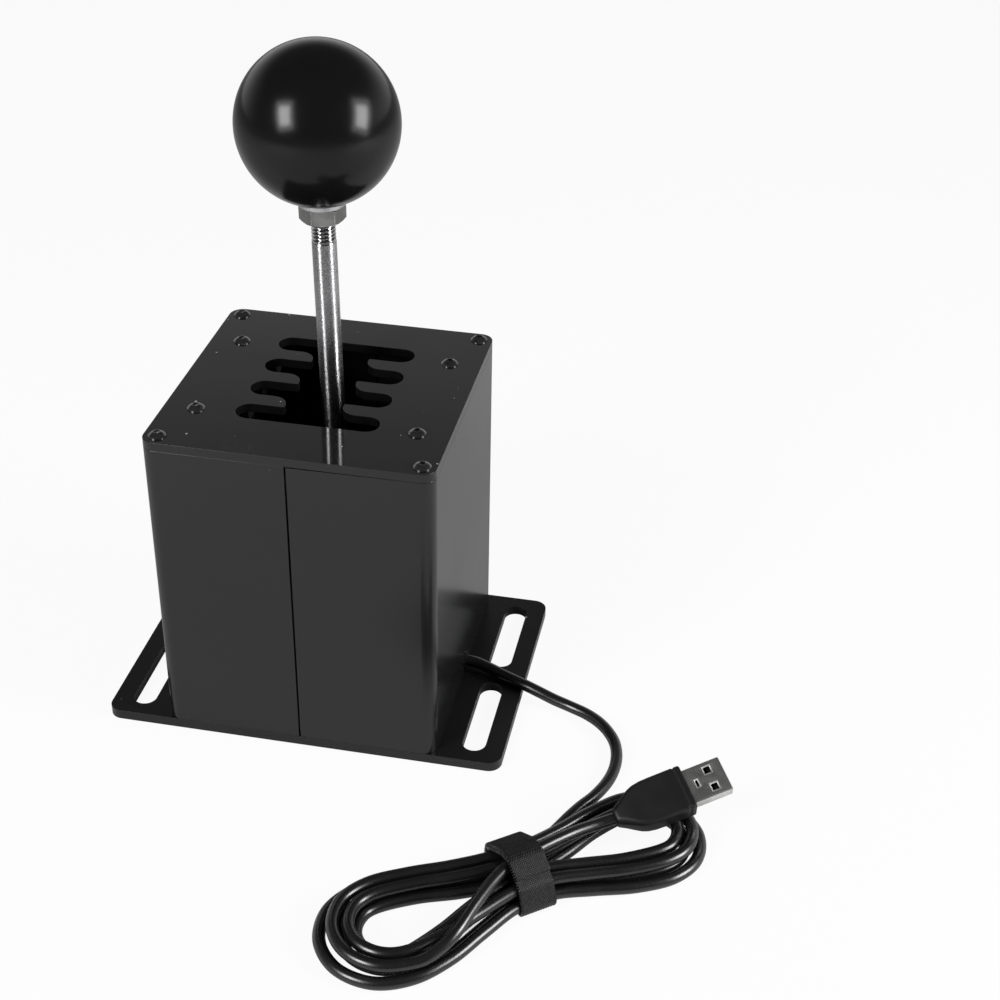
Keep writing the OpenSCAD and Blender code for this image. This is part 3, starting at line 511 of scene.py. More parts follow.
FINISHES: dict[str, Finish] = {finish.name: finish for finish in (
    ScuffedPaint(
        "gate_paint", (0.006, 0.0061, 0.0064), (0.008, 0.0081, 0.0085), 0.05, specular=0.95, drift=0.02,
        drift_scale=26.0, grain_scale=900.0, grain_depth=0.000002, dust_share=0.2, dust_scale=260.0,
        dust_size=0.08, rub=0.1, rub_width=0.0003),
    Finish(
        "base_paint", (0.005, 0.005, 0.0052), (0.007, 0.007, 0.0073), 0.27, specular=0.4, drift=0.06,
        drift_scale=24.0, grain_scale=1600.0, grain_depth=0.000008, dust_share=0.15, dust_scale=240.0,
        dust_size=0.08, rub=0.1, rub_width=0.0003),
    Finish(
        "shell_paint", (0.0046, 0.0047, 0.0049), (0.0062, 0.0063, 0.0066), 0.24, specular=0.47, drift=0.05,
        drift_scale=18.0, grain_scale=2200.0, grain_depth=0.000006, dust_share=0.02, dust_scale=210.0,
        dust_size=0.07, rub=0.06, rub_width=0.0003),
    # slot walls: near-black and matt, painted shade inside the gate's slots.
    Finish(
        "slot_wall", (0.0008, 0.0008, 0.0009), (0.0016, 0.0016, 0.0017), 0.6, specular=0.1, drift=0.1,
        drift_scale=200.0, grain_scale=2400.0, grain_depth=0.00001, dust_share=0.05, dust_scale=420.0,
        dust_size=0.07),
    # black_screw: pale rims that are partly edge wear and partly a painted highlight.
    Finish(
        "black_screw", (0.009, 0.009, 0.0093), (0.014, 0.014, 0.0145), 0.13, specular=1.0, drift=0.05,
        drift_scale=300.0, grain_scale=4000.0, grain_depth=0.000004, dust_share=0.04, dust_scale=900.0,
        rub=0.6, rub_width=0.00025),
    GroundSteel(
        "ground_steel", (0.26, 0.26, 0.268), (0.33, 0.33, 0.338), 0.24, metallic=1.0, drift=0.03,
        drift_scale=120.0, grain_depth=0.000001),
    Finish(
        "cut_thread", (0.34, 0.34, 0.345), (0.44, 0.44, 0.445), 0.12, metallic=1.0, drift=0.06,
        drift_scale=400.0, grain_scale=3200.0, grain_depth=0.000006, rub=0.3, rub_width=0.0002,
        rub_colour=(0.85, 0.85, 0.85)),
    Finish(
        "bright_nut", (0.17, 0.169, 0.166), (0.24, 0.238, 0.234), 0.1, metallic=1.0, drift=0.05,
        drift_scale=240.0, grain_scale=2600.0, grain_depth=0.00001, rub=1.0, rub_width=0.0005,
        rub_colour=(0.9, 0.9, 0.89)),
    Finish(
        "knob_resin", (0.0045, 0.0045, 0.0046), (0.0055, 0.0055, 0.0056), 0.18, specular=0.22, drift=0.02,
        drift_scale=40.0, grain_scale=700.0, grain_depth=0.000001, dust_share=0.025, dust_scale=260.0,
        dust_size=0.05),
    Finish(
        "cable_vinyl", (0.0045, 0.0045, 0.0047), (0.0065, 0.0065, 0.0068), 0.27, specular=0.7, drift=0.06,
        drift_scale=90.0, grain_scale=1800.0, grain_depth=0.000006, dust_share=0.03, dust_scale=300.0,
        dust_size=0.07),
    # tie_yarn: the first colour is painted shade in the hollows, the second a painted highlight on the yarns'
    # crowns.
    WovenStrap(
        "tie_yarn", (0.002, 0.002, 0.002), (0.1, 0.1, 0.1), 0.4, specular=0.3, drift=0.1,
        drift_scale=300.0, grain_depth=0.00004),
    Finish(
        "plug_plastic", (0.006, 0.006, 0.0061), (0.009, 0.009, 0.0091), 0.42, specular=0.35, drift=0.06,
        drift_scale=120.0, grain_scale=2400.0, grain_depth=0.00002, dust_share=0.04, dust_scale=500.0,
        rub=0.2, rub_width=0.0003),
    Finish(
        "plug_nickel", (0.6, 0.6, 0.59), (0.7, 0.7, 0.688), 0.28, metallic=1.0, drift=0.06,
        drift_scale=260.0, grain_scale=2600.0, grain_depth=0.000006, rub=0.5, rub_width=0.0003,
        rub_colour=(0.9, 0.9, 0.88)),
    Finish(
        "contact_gold", (0.6, 0.42, 0.16), (0.7, 0.5, 0.22), 0.25, metallic=1.0, drift=0.08,
        drift_scale=400.0),
    # plug_burr: painted highlight on the lips round the shell's holes.
    Finish(
        "plug_burr", (0.5, 0.5, 0.49), (0.75, 0.75, 0.74), 0.45, metallic=0.85, drift=0.1, drift_scale=900.0,
        grain_scale=3000.0, grain_depth=0.00001),
    Finish(
        "pale_plastic", (0.62, 0.61, 0.57), (0.7, 0.69, 0.65), 0.45, drift=0.08, drift_scale=200.0,
        grain_scale=2400.0, grain_depth=0.00002, dust_share=0.04, dust_colour=(0.3, 0.29, 0.27)),
    Finish(
        "black_plastic", (0.005, 0.005, 0.005), (0.008, 0.008, 0.008), 0.5, specular=0.3, drift=0.08,
        drift_scale=120.0, grain_scale=2200.0, grain_depth=0.00003, rub=0.3),
    Finish(
        "aluminium", (0.5, 0.505, 0.51), (0.6, 0.605, 0.61), 0.38, metallic=1.0, drift=0.1, drift_scale=120.0,
        grain_scale=2600.0, grain_depth=0.00002, rub=0.4, rub_colour=(0.8, 0.8, 0.8)),
    Finish(
        "turned_steel", (0.4, 0.4, 0.41), (0.5, 0.5, 0.51), 0.3, metallic=1.0, drift=0.1, drift_scale=200.0,
        grain_scale=3000.0, grain_depth=0.00001, rub=0.4, rub_colour=(0.75, 0.75, 0.75)),
    Finish(
        "bronze", (0.36, 0.21, 0.08), (0.46, 0.29, 0.12), 0.36, metallic=1.0, drift=0.1, drift_scale=200.0,
        grain_scale=2400.0, grain_depth=0.00002, rub=0.4, rub_colour=(0.6, 0.44, 0.24)),
    BoardLacquer(
        "board_green", (0.012, 0.09, 0.04), (0.03, 0.16, 0.08), 0.3, coat=0.3, drift=0.06, drift_scale=160.0),
    # ribbon_grey: the darker second colour is painted shade between the wires.
    RibbonLead(
        "ribbon_grey", (0.2, 0.205, 0.21), (0.08, 0.08, 0.085), 0.45, drift=0.06, drift_scale=120.0),
)}

NODE_FINISHES: dict[str, str] = {
    "corner_screws": "black_screw", "inner_screws": "black_screw", "base_screws": "black_screw",
    "tab_screws": "black_screw", "bracket_screws": "black_screw", "hub_set_screw": "black_screw",
    "corner_posts": "aluminium", "left_rail": "black_plastic", "right_rail": "black_plastic",
    "position_sensors": "black_plastic", "front_bracket": "black_screw", "rear_bracket": "black_screw",
    "pivot_shaft": "turned_steel", "shaft_rings": "turned_steel", "controller_board": "board_green",
    "board_spacers": "pale_plastic", "board_screws": "turned_steel", "board_chips": "black_plastic",
    "board_headers": "pale_plastic", "ribbon_leads": "ribbon_grey", "cable_grommet": "cable_vinyl",
    "plug_tongue": "black_plastic", "sliding_sleeve": "bronze", "sleeve_ring": "turned_steel",
    "lever_hub": "aluminium", "friction_washer": "bronze", "jam_nut": "bright_nut",
    "knob_washer": "cut_thread", "knob": "knob_resin", "knob_insert": "bronze",
}


class Finisher:
    """Makes the materials and puts them on nodes and pieces."""

    def __init__(self) -> None:
        """Builds every finish."""
        groups = EffectGroups()
        self.materials = {name: finish.build(groups) for name, finish in FINISHES.items()}

    def dress(self, piece: bpy.types.Object, finish: str) -> None:
        """Gives an object one finish.

        Args:
            piece: the object.
            finish: name of the finish.
        """
        if piece.material_slots:
            for held in piece.material_slots:
                held.material = self.materials[finish]
        else:
            piece.data.materials.append(self.materials[finish])

    def dress_nodes(self) -> None:
        """Dresses the solids that show as they are."""
        for node, finish in NODE_FINISHES.items():
            self.dress(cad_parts[node], finish)
            log.info("node %s has the finish %s", node, finish)


def new_piece(name: str, mesh: bpy.types.Mesh, body: Body,
              nodes: Iterable[str] = ()) -> bpy.types.Object:
    """Puts a mesh into the scene as a piece of one body.

    Args:
        name: the piece's name.
        mesh: its mesh, in metres in the shared frame.
        body: the body that it rides on.
        nodes: the solids that it stands for.

    Returns:
        The new object.
    """
    piece = bpy.data.objects.new(name, mesh)
    bpy.context.scene.collection.objects.link(piece)
    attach(piece, body.value)
    if nodes:
        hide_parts(*nodes)
    log.info("piece %s rides on %s", name, body.value)
    return piece


def closed_mesh(name: str, work: bmesh.types.BMesh, sharp: float = SHARP) -> bpy.types.Mesh:
    """Turns worked geometry into a smooth mesh with crisp edges.

    Args:
        name: the mesh's name.
        work: the geometry, which is freed.
        sharp: edges that turn by more than these degrees stay crisp.

    Returns:
        The new mesh.
    """
    bmesh.ops.recalc_face_normals(work, faces=work.faces)
    mesh = bpy.data.meshes.new(name)
    work.to_mesh(mesh)
    work.free()
    mesh.shade_smooth()
    mesh.set_sharp_from_angle(angle=math.radians(sharp))
    return mesh


def weigh_normals(piece: bpy.types.Object) -> None:
    """Keeps flat faces flat beside their rounded edges."""
    modifier = piece.modifiers.new("flat_faces", "WEIGHTED_NORMAL")
    modifier.keep_sharp = True
    modifier.weight = 100


def softened(node: str, width: float, segments: int = 2, sharp: float = 40.0) -> bmesh.types.BMesh:
    """Copies a solid and rounds its edges a little.

    Args:
        node: the solid's name.
        width: width of the rounding, in metres.
        segments: steps across the rounding.
        sharp: edges that turn by more than these degrees are rounded.

    Returns:
        The rounded geometry.
    """
    work = bmesh.new()
    work.from_mesh(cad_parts[node].data)
    bmesh.ops.remove_doubles(work, verts=work.verts, dist=1e-6)
    bmesh.ops.dissolve_limit(work, angle_limit=math.radians(0.4), verts=work.verts, edges=work.edges)
    edges = [edge for edge in work.edges if edge.is_manifold and edge.calc_face_angle() > math.radians(sharp)]
    bmesh.ops.bevel(work, geom=edges, offset=width, offset_type="OFFSET", segments=segments, profile=0.5,
                    affect="EDGES", clamp_overlap=True)
    return work


def smooth_route(points: Sequence[Vector], step: float) -> list[Vector]:
    """Draws one smooth curve through a route's points.

    Args:
        points: the route.
        step: distance between the curve's own points.

    Returns:
        The curve's points, from the first of the route to the last.
    """
    ends = [2 * points[0] - points[1], *points, 2 * points[-1] - points[-2]]
    curve = []
    for before, start, end, after in zip(ends, ends[1:], ends[2:], ends[3:]):
        count = max(1, round((end - start).length / step))
        for k in range(count):
            t = k / count
            curve.append(0.5 * (2 * start + (end - before) * t
                                + (2 * before - 5 * start + 4 * end - after) * t * t
                                + (3 * start - before - 3 * end + after) * t ** 3))
    return [*curve, points[-1]]


def skin(work: bmesh.types.BMesh, rings: Sequence[Sequence[bmesh.types.BMVert]], capped: bool = True) -> None:
    """Joins rings of points into a tube.

    Args:
        work: the geometry.
        rings: the rings in order, with as many points each.
        capped: whether the first and the last ring are closed.
    """
    for below, above in zip(rings, rings[1:]):
        for j in range(len(below)):
            following = (j + 1) % len(below)
            work.faces.new((below[j], below[following], above[following], above[j]))
    if capped:
        work.faces.new(rings[0][::-1])
        work.faces.new(rings[-1])


def tube(points: Sequence[Vector], radius: float, sides: int) -> bmesh.types.BMesh:
    """Sweeps a round section along a curve.

    Args:
        points: the curve.
        radius: radius of the section.
        sides: corners of the section.

    Returns:
        The tube, closed at both ends.
    """
    work = bmesh.new()
    rings = []
    across = Vector((0.0, 0.0, 1.0))
    for k, centre in enumerate(points):
        ahead = (points[min(k + 1, len(points) - 1)] - points[max(k - 1, 0)]).normalized()
        across = (across - ahead * across.dot(ahead)).normalized()
        side = ahead.cross(across)
        rings.append([work.verts.new(centre + radius * (across * math.cos(2 * math.pi * j / sides)
                                                        + side * math.sin(2 * math.pi * j / sides)))
                      for j in range(sides)])
    skin(work, rings)
    return work


@dataclass(frozen=True)
class Softbox:
    """One soft lamp, placed by what the knob shows of it."""

    name: str
    toward: Point
    width: float
    height: float
    distance: float
    power: float


@dataclass
class Studio:
    """Camera, lamps, surroundings and floor."""

    azimuth: float = math.radians(10.509)
    elevation: float = math.radians(32.874)
    roll: float = math.radians(1.129)
    eye: Point = (0.14901, -0.48690, 0.39765)
    lens: float = 63.66
    sensor: float = 36.0
    clip_start: float = 0.01
    lit_point: Point = (0.0, 0.01, 0.16)
    floor_radius: float = 9.0
    floor_sides: int = 96
    floor_cloud: float = 3.0
    floor_drop: float = 0.00015
    camera_white: float = 0.93
    mirror_white: float = 0.06
    sky_white: float = 0.98
    wall_dim: float = 0.09
    wall_pale: float = 0.9
    paper: tuple[float, float] = (0.7, 0.74)
    lamps: tuple[Softbox, ...] = (
        Softbox("left_softbox", (-0.613, 0.028, 0.79), 0.4, 0.62, 0.95, 3.4),
        Softbox("left_core", (-0.613, 0.028, 0.79), 0.24, 0.38, 0.93, 4.8),
        Softbox("right_softbox", (0.906, 0.087, 0.414), 0.46, 0.68, 0.95, 3.8),
        Softbox("right_core", (0.906, 0.087, 0.414), 0.27, 0.41, 0.93, 5.4),
    )

    def axes(self) -> tuple[Vector, Vector, Vector]:
        """Gives the camera's right, up and backward directions."""
        level = math.cos(self.elevation)
        back = Vector((math.sin(self.azimuth) * level, -math.cos(self.azimuth) * level,
                       math.sin(self.elevation)))
        right = (-back).cross(Vector((0.0, 0.0, 1.0))).normalized()
        up = right.cross(-back)
        turned_right = right * math.cos(self.roll) + up * math.sin(self.roll)
        turned_up = up * math.cos(self.roll) - right * math.sin(self.roll)
        return turned_right, turned_up, back

    @staticmethod
    def facing(axes: tuple[Vector, Vector, Vector], place: Vector) -> Matrix:
        """Gives the matrix of something at a place, with its own axes.

        Args:
            axes: its right, up and backward directions.
            place: where it stands.

        Returns:
            The world matrix.
        """
        return Matrix.Translation(place) @ Matrix(axes).transposed().to_4x4()

    def build(self) -> None:
        """Makes the whole studio."""
        self.make_camera()
        for lamp in self.lamps:
            self.make_lamp(lamp)
        self.make_world()
        self.make_floor()
        bpy.context.scene.view_settings.view_transform = "Standard"

    def make_camera(self) -> None:
        """Puts the camera where the photograph was taken."""
        data = bpy.data.cameras.new("photo_camera")
        data.lens = self.lens
        data.sensor_width = self.sensor
        data.clip_start = self.clip_start
        camera = bpy.data.objects.new("photo_camera", data)
        camera.matrix_world = self.facing(self.axes(), Vector(self.eye))
        bpy.context.scene.collection.objects.link(camera)
        bpy.context.scene.camera = camera

    def make_lamp(self, lamp: Softbox) -> None:
        """Hangs one softbox, turned towards the object.

        Args:
            lamp: its place, size and power.
        """
        right, up, back = self.axes()
        toward = (right * lamp.toward[0] + up * lamp.toward[1] + back * lamp.toward[2]).normalized()
        data = bpy.data.lights.new(lamp.name, "AREA")
        data.shape = "RECTANGLE"
        data.size = lamp.width
        data.size_y = lamp.height
        data.energy = lamp.power
        side = up.cross(toward).normalized()
        holder = bpy.data.objects.new(lamp.name, data)
        place = Vector(self.lit_point) + toward * lamp.distance
        holder.matrix_world = self.facing((side, toward.cross(side), toward), place)
        holder.visible_camera = False
        bpy.context.scene.collection.objects.link(holder)

    def make_world(self) -> None:
        """Makes surroundings that are pale behind and dim in front and above, and white to the camera."""
        world = bpy.data.worlds.new("studio_walls")
        world.use_nodes = True
        world.node_tree.nodes.clear()
        graph = Graph(world.node_tree)
        way = graph.add("SeparateXYZ", {0: graph.add("TexCoord").outputs["Generated"]})
        behind = graph.remap(way.outputs[1], -0.35, 0.55)
        low = graph.remap(way.outputs[2], 0.62, 0.1)
        wall = graph.math("MULTIPLY", behind, low)
        colour = graph.mix(wall, grey(self.wall_dim), grey(self.wall_pale))
        seen = graph.add("LightPath").outputs["Is Camera Ray"]
        colour = graph.mix(seen, colour, grey(self.sky_white))
        light = graph.add("Background", {"Color": colour, "Strength": 1.0})
        output = graph.add("OutputWorld")
        world.node_tree.links.new(light.outputs[0], output.inputs[0])
        bpy.context.scene.world = world

    def make_floor(self) -> None:
        """Lays the white table that the object stands on."""
        work = bmesh.new()
        bmesh.ops.create_circle(work, cap_ends=True, segments=self.floor_sides, radius=self.floor_radius)
        floor = bpy.data.objects.new("floor", closed_mesh("floor", work))
        floor.location = (0.0, 0.0, -self.floor_drop)
        bpy.context.scene.collection.objects.link(floor)
        material = bpy.data.materials.new("white_table")
        material.use_nodes = True
        material.node_tree.nodes.clear()
        graph = Graph(material.node_tree)
        path = graph.add("LightPath")
        mirrored = graph.math("MAXIMUM", path.outputs["Is Glossy Ray"], path.outputs["Is Transmission Ray"])
        seen = graph.math("MULTIPLY", path.outputs["Is Camera Ray"], self.camera_white)
        seen = graph.math("MAXIMUM", seen, graph.math("MULTIPLY", mirrored, self.mirror_white))
        cloud = graph.noise(graph.place(), self.floor_cloud, 3.0)
        tone = graph.mix(cloud, *map(grey, self.paper))
        paper = graph.add("BsdfDiffuse", {"Color": tone})
        glow = graph.add("Emission", {"Color": grey(1.0), "Strength": 1.0})
        mixed = graph.add("MixShader", {0: seen, 1: paper.outputs[0], 2: glow.outputs[0]})
        output = graph.add("OutputMaterial")
        material.node_tree.links.new(mixed.outputs[0], output.inputs["Surface"])
        floor.data.materials.append(material)


@dataclass
class Cable:
    """The cable from its grommet through the hank to the plug, with tie and plug."""

    diameter: float = 4.0 * MM
    sides: int = 16
    cord_step: float = 1.2 * MM
    lead_step: float = 1.0 * MM
    inner_step: float = 0.6 * MM
    exit: Point = (47.5 * MM, 2.0 * MM, 6.8 * MM)
    hank_mid: Point = (86.0 * MM, -98.0 * MM, 0.0)
    hank_turn: float = math.radians(38.0)
    hank_half_w: float = 21.2 * MM
    fold_reach: float = 44.0 * MM
    fold_start: float = 3.5 / 12
    loops: float = 2.5
    outer_reach: float = 1.5 * MM
    loop_gap: float = 0.8 * MM
    layer_gap: float = 0.55 * MM
    waist_draw: float = 10.5 * MM
    upper_slack: float = 3.0 * MM
    climb_from: float = 0.15
    climb_to: float = 0.03
    rings: int = 24
    first_ring: float = -1.0
    last_ring: int = 104
    tie_w: float = 11.5 * MM
    tie_t: float = 1.2 * MM
    tie_room: float = 0.3 * MM
    tie_start: float = 0.52
    tie_overlap: float = 0.33
    tie_ramp: float = 6.0 * MM
    tie_sharp: float = 75.0
    tie_spots: int = 24
    turns_between: int = 8
    yarn: float = 0.42 * MM
    yarn_rise: float = 0.11 * MM
    yarn_tooth: float = 0.2 * MM
    lift_spread: float = 18.0 * MM
    route_mm: tuple[Point, ...] = (
        (47.5, 2.0, 6.8), (51.5, 1.5, 6.6), (56.1, 0.0, 6.1), (61.045, -2.1, 5.75), (66.0, -4.3, 5.65),
        (71.0, -6.3, 5.35), (76.0, -7.8, 4.45), (81.0, -9.0, 3.25), (87.0, -10.5, 2.35), (93.0, -13.0, 2.15),
        (98.0, -16.5, 2.15), (102.0, -21.0, 2.15), (105.0, -26.5, 2.15), (106.5, -33.0, 2.15),
        (106.5, -40.0, 2.15), (105.0, -47.0, 2.15), (102.0, -54.0, 2.15), (98.6, -59.5, 2.15),
        (95.7, -65.0, 2.15), (93.2, -70.5, 2.25), (90.8, -75.8, 2.55))
    lead_mm: tuple[Point, ...] = (
        (-37.0, -18.0, 8.2), (-30.0, -15.8, 10.3), (-21.0, -9.8, 11.9), (-12.0, -4.0, 12.4),
        (-4.0, 0.0, 12.3), (4.0, 1.9, 12.1), (13.0, 3.4, 12.0), (22.0, 4.6, 11.5), (29.5, 4.7, 11.2),
        (35.0, 3.9, 12.0))
    inner_mm: tuple[Point, ...] = (
        (36.0, 2.0, 11.1), (37.5, 2.0, 11.1), (39.0, 2.0, 10.24), (40.5, 2.0, 7.66), (42.0, 2.0, 6.8),
        (43.5, 2.0, 6.8), (47.5, 2.0, 6.8))
    plug_tilt: Point = (math.radians(23.0), math.radians(-12.0), math.radians(-8.0))
    grip_l: float = 25.0 * MM
    grip_sections: tuple[tuple[float, float, float, float], ...] = (
        (0.0, 2.6, 2.5, 1.8), (0.25, 2.9, 2.8, 2.0), (1.0, 3.3, 3.05, 2.2), (2.5, 4.1, 3.3, 2.2),
        (4.5, 5.3, 3.6, 2.0), (6.5, 6.4, 3.8, 1.7), (8.5, 7.05, 3.93, 1.4), (11.0, 7.4, 4.0, 1.2),
        (14.0, 7.5, 4.0, 1.1), (22.2, 7.5, 4.0, 1.0), (22.5, 7.3, 3.8, 0.9), (22.9, 7.3, 3.8, 0.9),
        (23.2, 7.5, 4.0, 1.0), (24.4, 7.5, 4.0, 1.0), (24.8, 7.35, 3.85, 0.9), (25.0, 7.0, 3.5, 0.7))
    shell_l: float = 13.0 * MM
    shell_w: float = 12.0 * MM
    shell_h: float = 4.5 * MM
    shell_wall: float = 0.35 * MM
    shell_corner: float = 0.7 * MM
    inner_corner: float = 0.35 * MM
    mouth_bevel: float = 0.12 * MM
    latch_hole: float = 2.2 * MM
    latch_from_mouth: float = 5.0 * MM
    key_slot_w: float = 0.8 * MM
    hole_lip: float = 0.55 * MM
    lip_over: float = 0.05 * MM
    lip_depth: float = 0.25 * MM
    burr_margin: float = 1.2 * MM
    burr_slope: tuple[float, float] = (0.2, 0.97)
    tongue_room: float = 0.1 * MM
    tongue_h: float = 1.9 * MM
    contact_size: Point = (1.6 * MM, 1.0 * MM, 0.2 * MM)
    contact_from_shell: float = 10.5 * MM
    contact_places_mm: tuple[float, ...] = (-3.5, -1.0, 1.0, 3.5)
    contact_bevel: float = 0.06 * MM

    def __post_init__(self) -> None:
        """Works out the sizes that follow from the others."""
        self.radius = self.diameter / 2
        self.loop_step = self.diameter + self.loop_gap
        self.layer_step = self.diameter + self.layer_gap
        self.tie_lift = self.tie_t + self.tie_room
        self.hank_frame = Matrix.Translation(Vector(self.hank_mid)) @ Matrix.Rotation(self.hank_turn, 4, "Z")
        self.plug_frame = (self.hank_frame @ Matrix.Translation(Vector(self.lead_mm[-1]) * MM)
                           @ Euler(self.plug_tilt).to_matrix().to_4x4())

    def lobe(self, share: float, half_w: float, draw: float, reach: float) -> tuple[float, float]:
        """Gives one lobe of a loop, from the waist round the fold and back.

        Args:
            share: how far round the lobe, from 0 to 1.
            half_w: half width of the loop at its fold.
            draw: how far the loop is drawn in at the waist.
            reach: distance of the fold's centre from the waist.

        Returns:
            The place along and across the hank.
        """
        start = self.fold_start
        along = reach * min(share, 1 - share) / start
        drawn = (1 + math.cos(math.pi * along / self.fold_reach)) / 2 if along < self.fold_reach else 0.0
        run_w = half_w - draw * drawn
        turn = math.pi / 2 + math.pi * (share - start) / (1 - 2 * start)
        if share < start:
            return -along, run_w
        if share < 1 - start:
            return half_w * math.cos(turn) - reach, half_w * math.sin(turn)
        return -along, -run_w

    def hank_point(self, loops: float) -> Vector:
        """Gives the point of the hank after some loops, in the hank's own frame."""
        half = math.floor(2 * loops)
        half_w = self.hank_half_w - self.loop_step * (self.loops - abs(loops - self.loops))
        climb = (loops - self.loops + self.climb_from) / (self.climb_from - self.climb_to)
        climb = min(1.0, max(0.0, climb))
        reach = self.fold_reach + (self.outer_reach if 0 < loops < 0.5 else 0.0)
        along, across = self.lobe(2 * loops - half, half_w, self.waist_draw - self.upper_slack * climb, reach)
        side = 1 if half % 2 == 0 else -1
        lift = self.tie_lift * math.exp(-(along / self.lift_spread) ** 2)
        return Vector((side * along, side * across, self.radius + self.layer_step * climb + lift))

    def hank_turns(self) -> list[float]:
        """Gives the loops wound at each ring of the hank."""
        return [(k + 0.5) / self.rings for k in (self.first_ring, *range(self.last_ring + 1))]

    def line(self) -> list[Vector]:
        """Gives the cable's centreline, from its exit to the plug."""
        hank = [self.hank_frame @ self.hank_point(turn) for turn in self.hank_turns()]
        lead = [self.hank_frame @ (Vector(p) * MM) for p in self.lead_mm]
        flare = self.hank_point(self.first_ring / self.rings) + Vector((0.0, self.loop_gap / 2, 0.0))
        return [*(Vector(p) * MM for p in self.route_mm), self.hank_frame @ flare, *hank, *lead]

    def build(self, finisher: Finisher) -> None:
        """Makes the cable, its tie and its plug.

        Args:
            finisher: gives the finishes.
        """
        tie = self.make_tie(finisher)
        grip = self.make_grip(finisher)
        shell = self.make_shell(finisher)
        contacts = self.make_contacts(finisher)
        self.make_cord(finisher)
        self.make_inner_lead(finisher)

    def make_cord(self, finisher: Finisher) -> None:
        """Makes the cable as one smooth curve.

        Args:
            finisher: gives the finish.
        """
        points = smooth_route(self.line(), self.cord_step)
        piece = new_piece("cable_cord", closed_mesh("cable_cord", tube(points, self.radius, self.sides)),
                          Body.HOUSING, ["cable", "cable_hank"])
        finisher.dress(piece, "cable_vinyl")

    def make_inner_lead(self, finisher: Finisher) -> None:
        """Makes the short lead between the board and the grommet."""
        points = smooth_route([Vector(p) * MM for p in self.inner_mm], self.inner_step)
        mesh = closed_mesh("inner_lead_tube", tube(points, self.radius, self.sides))
        piece = new_piece("inner_lead_tube", mesh, Body.HOUSING, ["inner_lead"])
        finisher.dress(piece, "cable_vinyl")

    def tie_outline(self, lift: float) -> list[Vector]:
        """Gives the closed line of a strap drawn tight round the strands.

        Args:
            lift: distance of the line from the strands.

        Returns:
            Points across and up, evenly spaced, anticlockwise.
        """
        reach = self.radius + lift
        centres = []
        for turn in self.fine_turns():
            point = self.hank_point(turn)
            if abs(point.x) <= self.tie_w / 2:
                centres.append((point.y, point.z))
        lead = smooth_route([Vector(p) * MM for p in self.lead_mm], self.lead_step)
        centres += [(p.y, p.z) for p in lead if abs(p.x) <= self.tie_w / 2]
        angles = [2 * math.pi * k / self.tie_spots for k in range(self.tie_spots)]
        spots = sorted({(round(y + reach * math.cos(a), 7), round(z + reach * math.sin(a), 7))
                        for y, z in centres for a in angles})
        hull = self.half_hull(spots)[:-1] + self.half_hull(spots[::-1])[:-1]
        return [Vector((y, z)) for y, z in hull]

    def fine_turns(self) -> Iterable[float]:
        """Gives close loop counts over the whole hank."""
        turns = self.hank_turns()
        count = self.turns_between * len(turns)
        return (turns[0] + (turns[-1] - turns[0]) * k / count for k in range(count + 1))

    @staticmethod
    def half_hull(spots: Sequence[tuple[float, float]]) -> list[tuple[float, float]]:
        """Gives one side of the smallest outline round sorted points."""
        side: list[tuple[float, float]] = []
        for spot in spots:
            while len(side) > 1:
                (ax, ay), (bx, by) = side[-2:]
                if (bx - ax) * (spot[1] - ay) - (by - ay) * (spot[0] - ax) > 0:
                    break
                side.pop()
            side.append(spot)
        return side

    def make_tie(self, finisher: Finisher) -> bpy.types.Object:
        """Makes the woven strap round the hank's waist, with its overlapping end.

        Args:
            finisher: gives the finish.

        Returns:
            The strap.
        """
        thick = self.tie_t - 2 * self.yarn_rise
        outline = self.tie_outline(self.tie_room + thick / 2 + self.yarn_rise)
        outline.append(outline[0])
        lengths = [(b - a).length for a, b in zip(outline, outline[1:])]
        around = sum(lengths)
        overlap = self.tie_overlap * around
        count = round((around + overlap) / self.yarn)
        across = round(self.tie_w / self.yarn)
        work = bmesh.new()
        rows = []
        places: dict[bmesh.types.BMVert, tuple[int, int]] = {}
        start = self.tie_start * around
        for i in range(count + 1):
            run = i * self.yarn
            middle, outward = self.on_outline(outline, lengths, (start + run) % around)
            rise = self.tie_t * self.eased((run - around + self.tie_ramp) / self.tie_ramp)
            middle = middle + outward * rise
            for face in (1, -1):
                row = []
                for j in range(across + 1):
                    weave = self.yarn_rise * (1 if (i + j) % 2 else -1) if 0 < i < count else 0.0
                    side = 1 if j == across else -1 if j == 0 else 0
                    edge = self.yarn_tooth * (1 if i % 2 else -1) * side
                    place = middle + outward * (face * thick / 2 + weave)
                    along = -self.tie_w / 2 + self.tie_w * j / across + edge
                    row.append(work.verts.new(self.hank_frame @ Vector((along, place.x, place.y))))
                    places[row[-1]] = (i, j)
                rows.append(row)
        self.skin_strap(work, rows)
        layer = work.loops.layers.uv.new("weave")
        for corner in (corner for face in work.faces for corner in face.loops):
            corner[layer].uv = places[corner.vert]
        piece = new_piece("cable_tie_strap", closed_mesh("cable_tie_strap", work, self.tie_sharp),
                          Body.HOUSING, ["cable_tie"])
        finisher.dress(piece, "tie_yarn")
        return piece

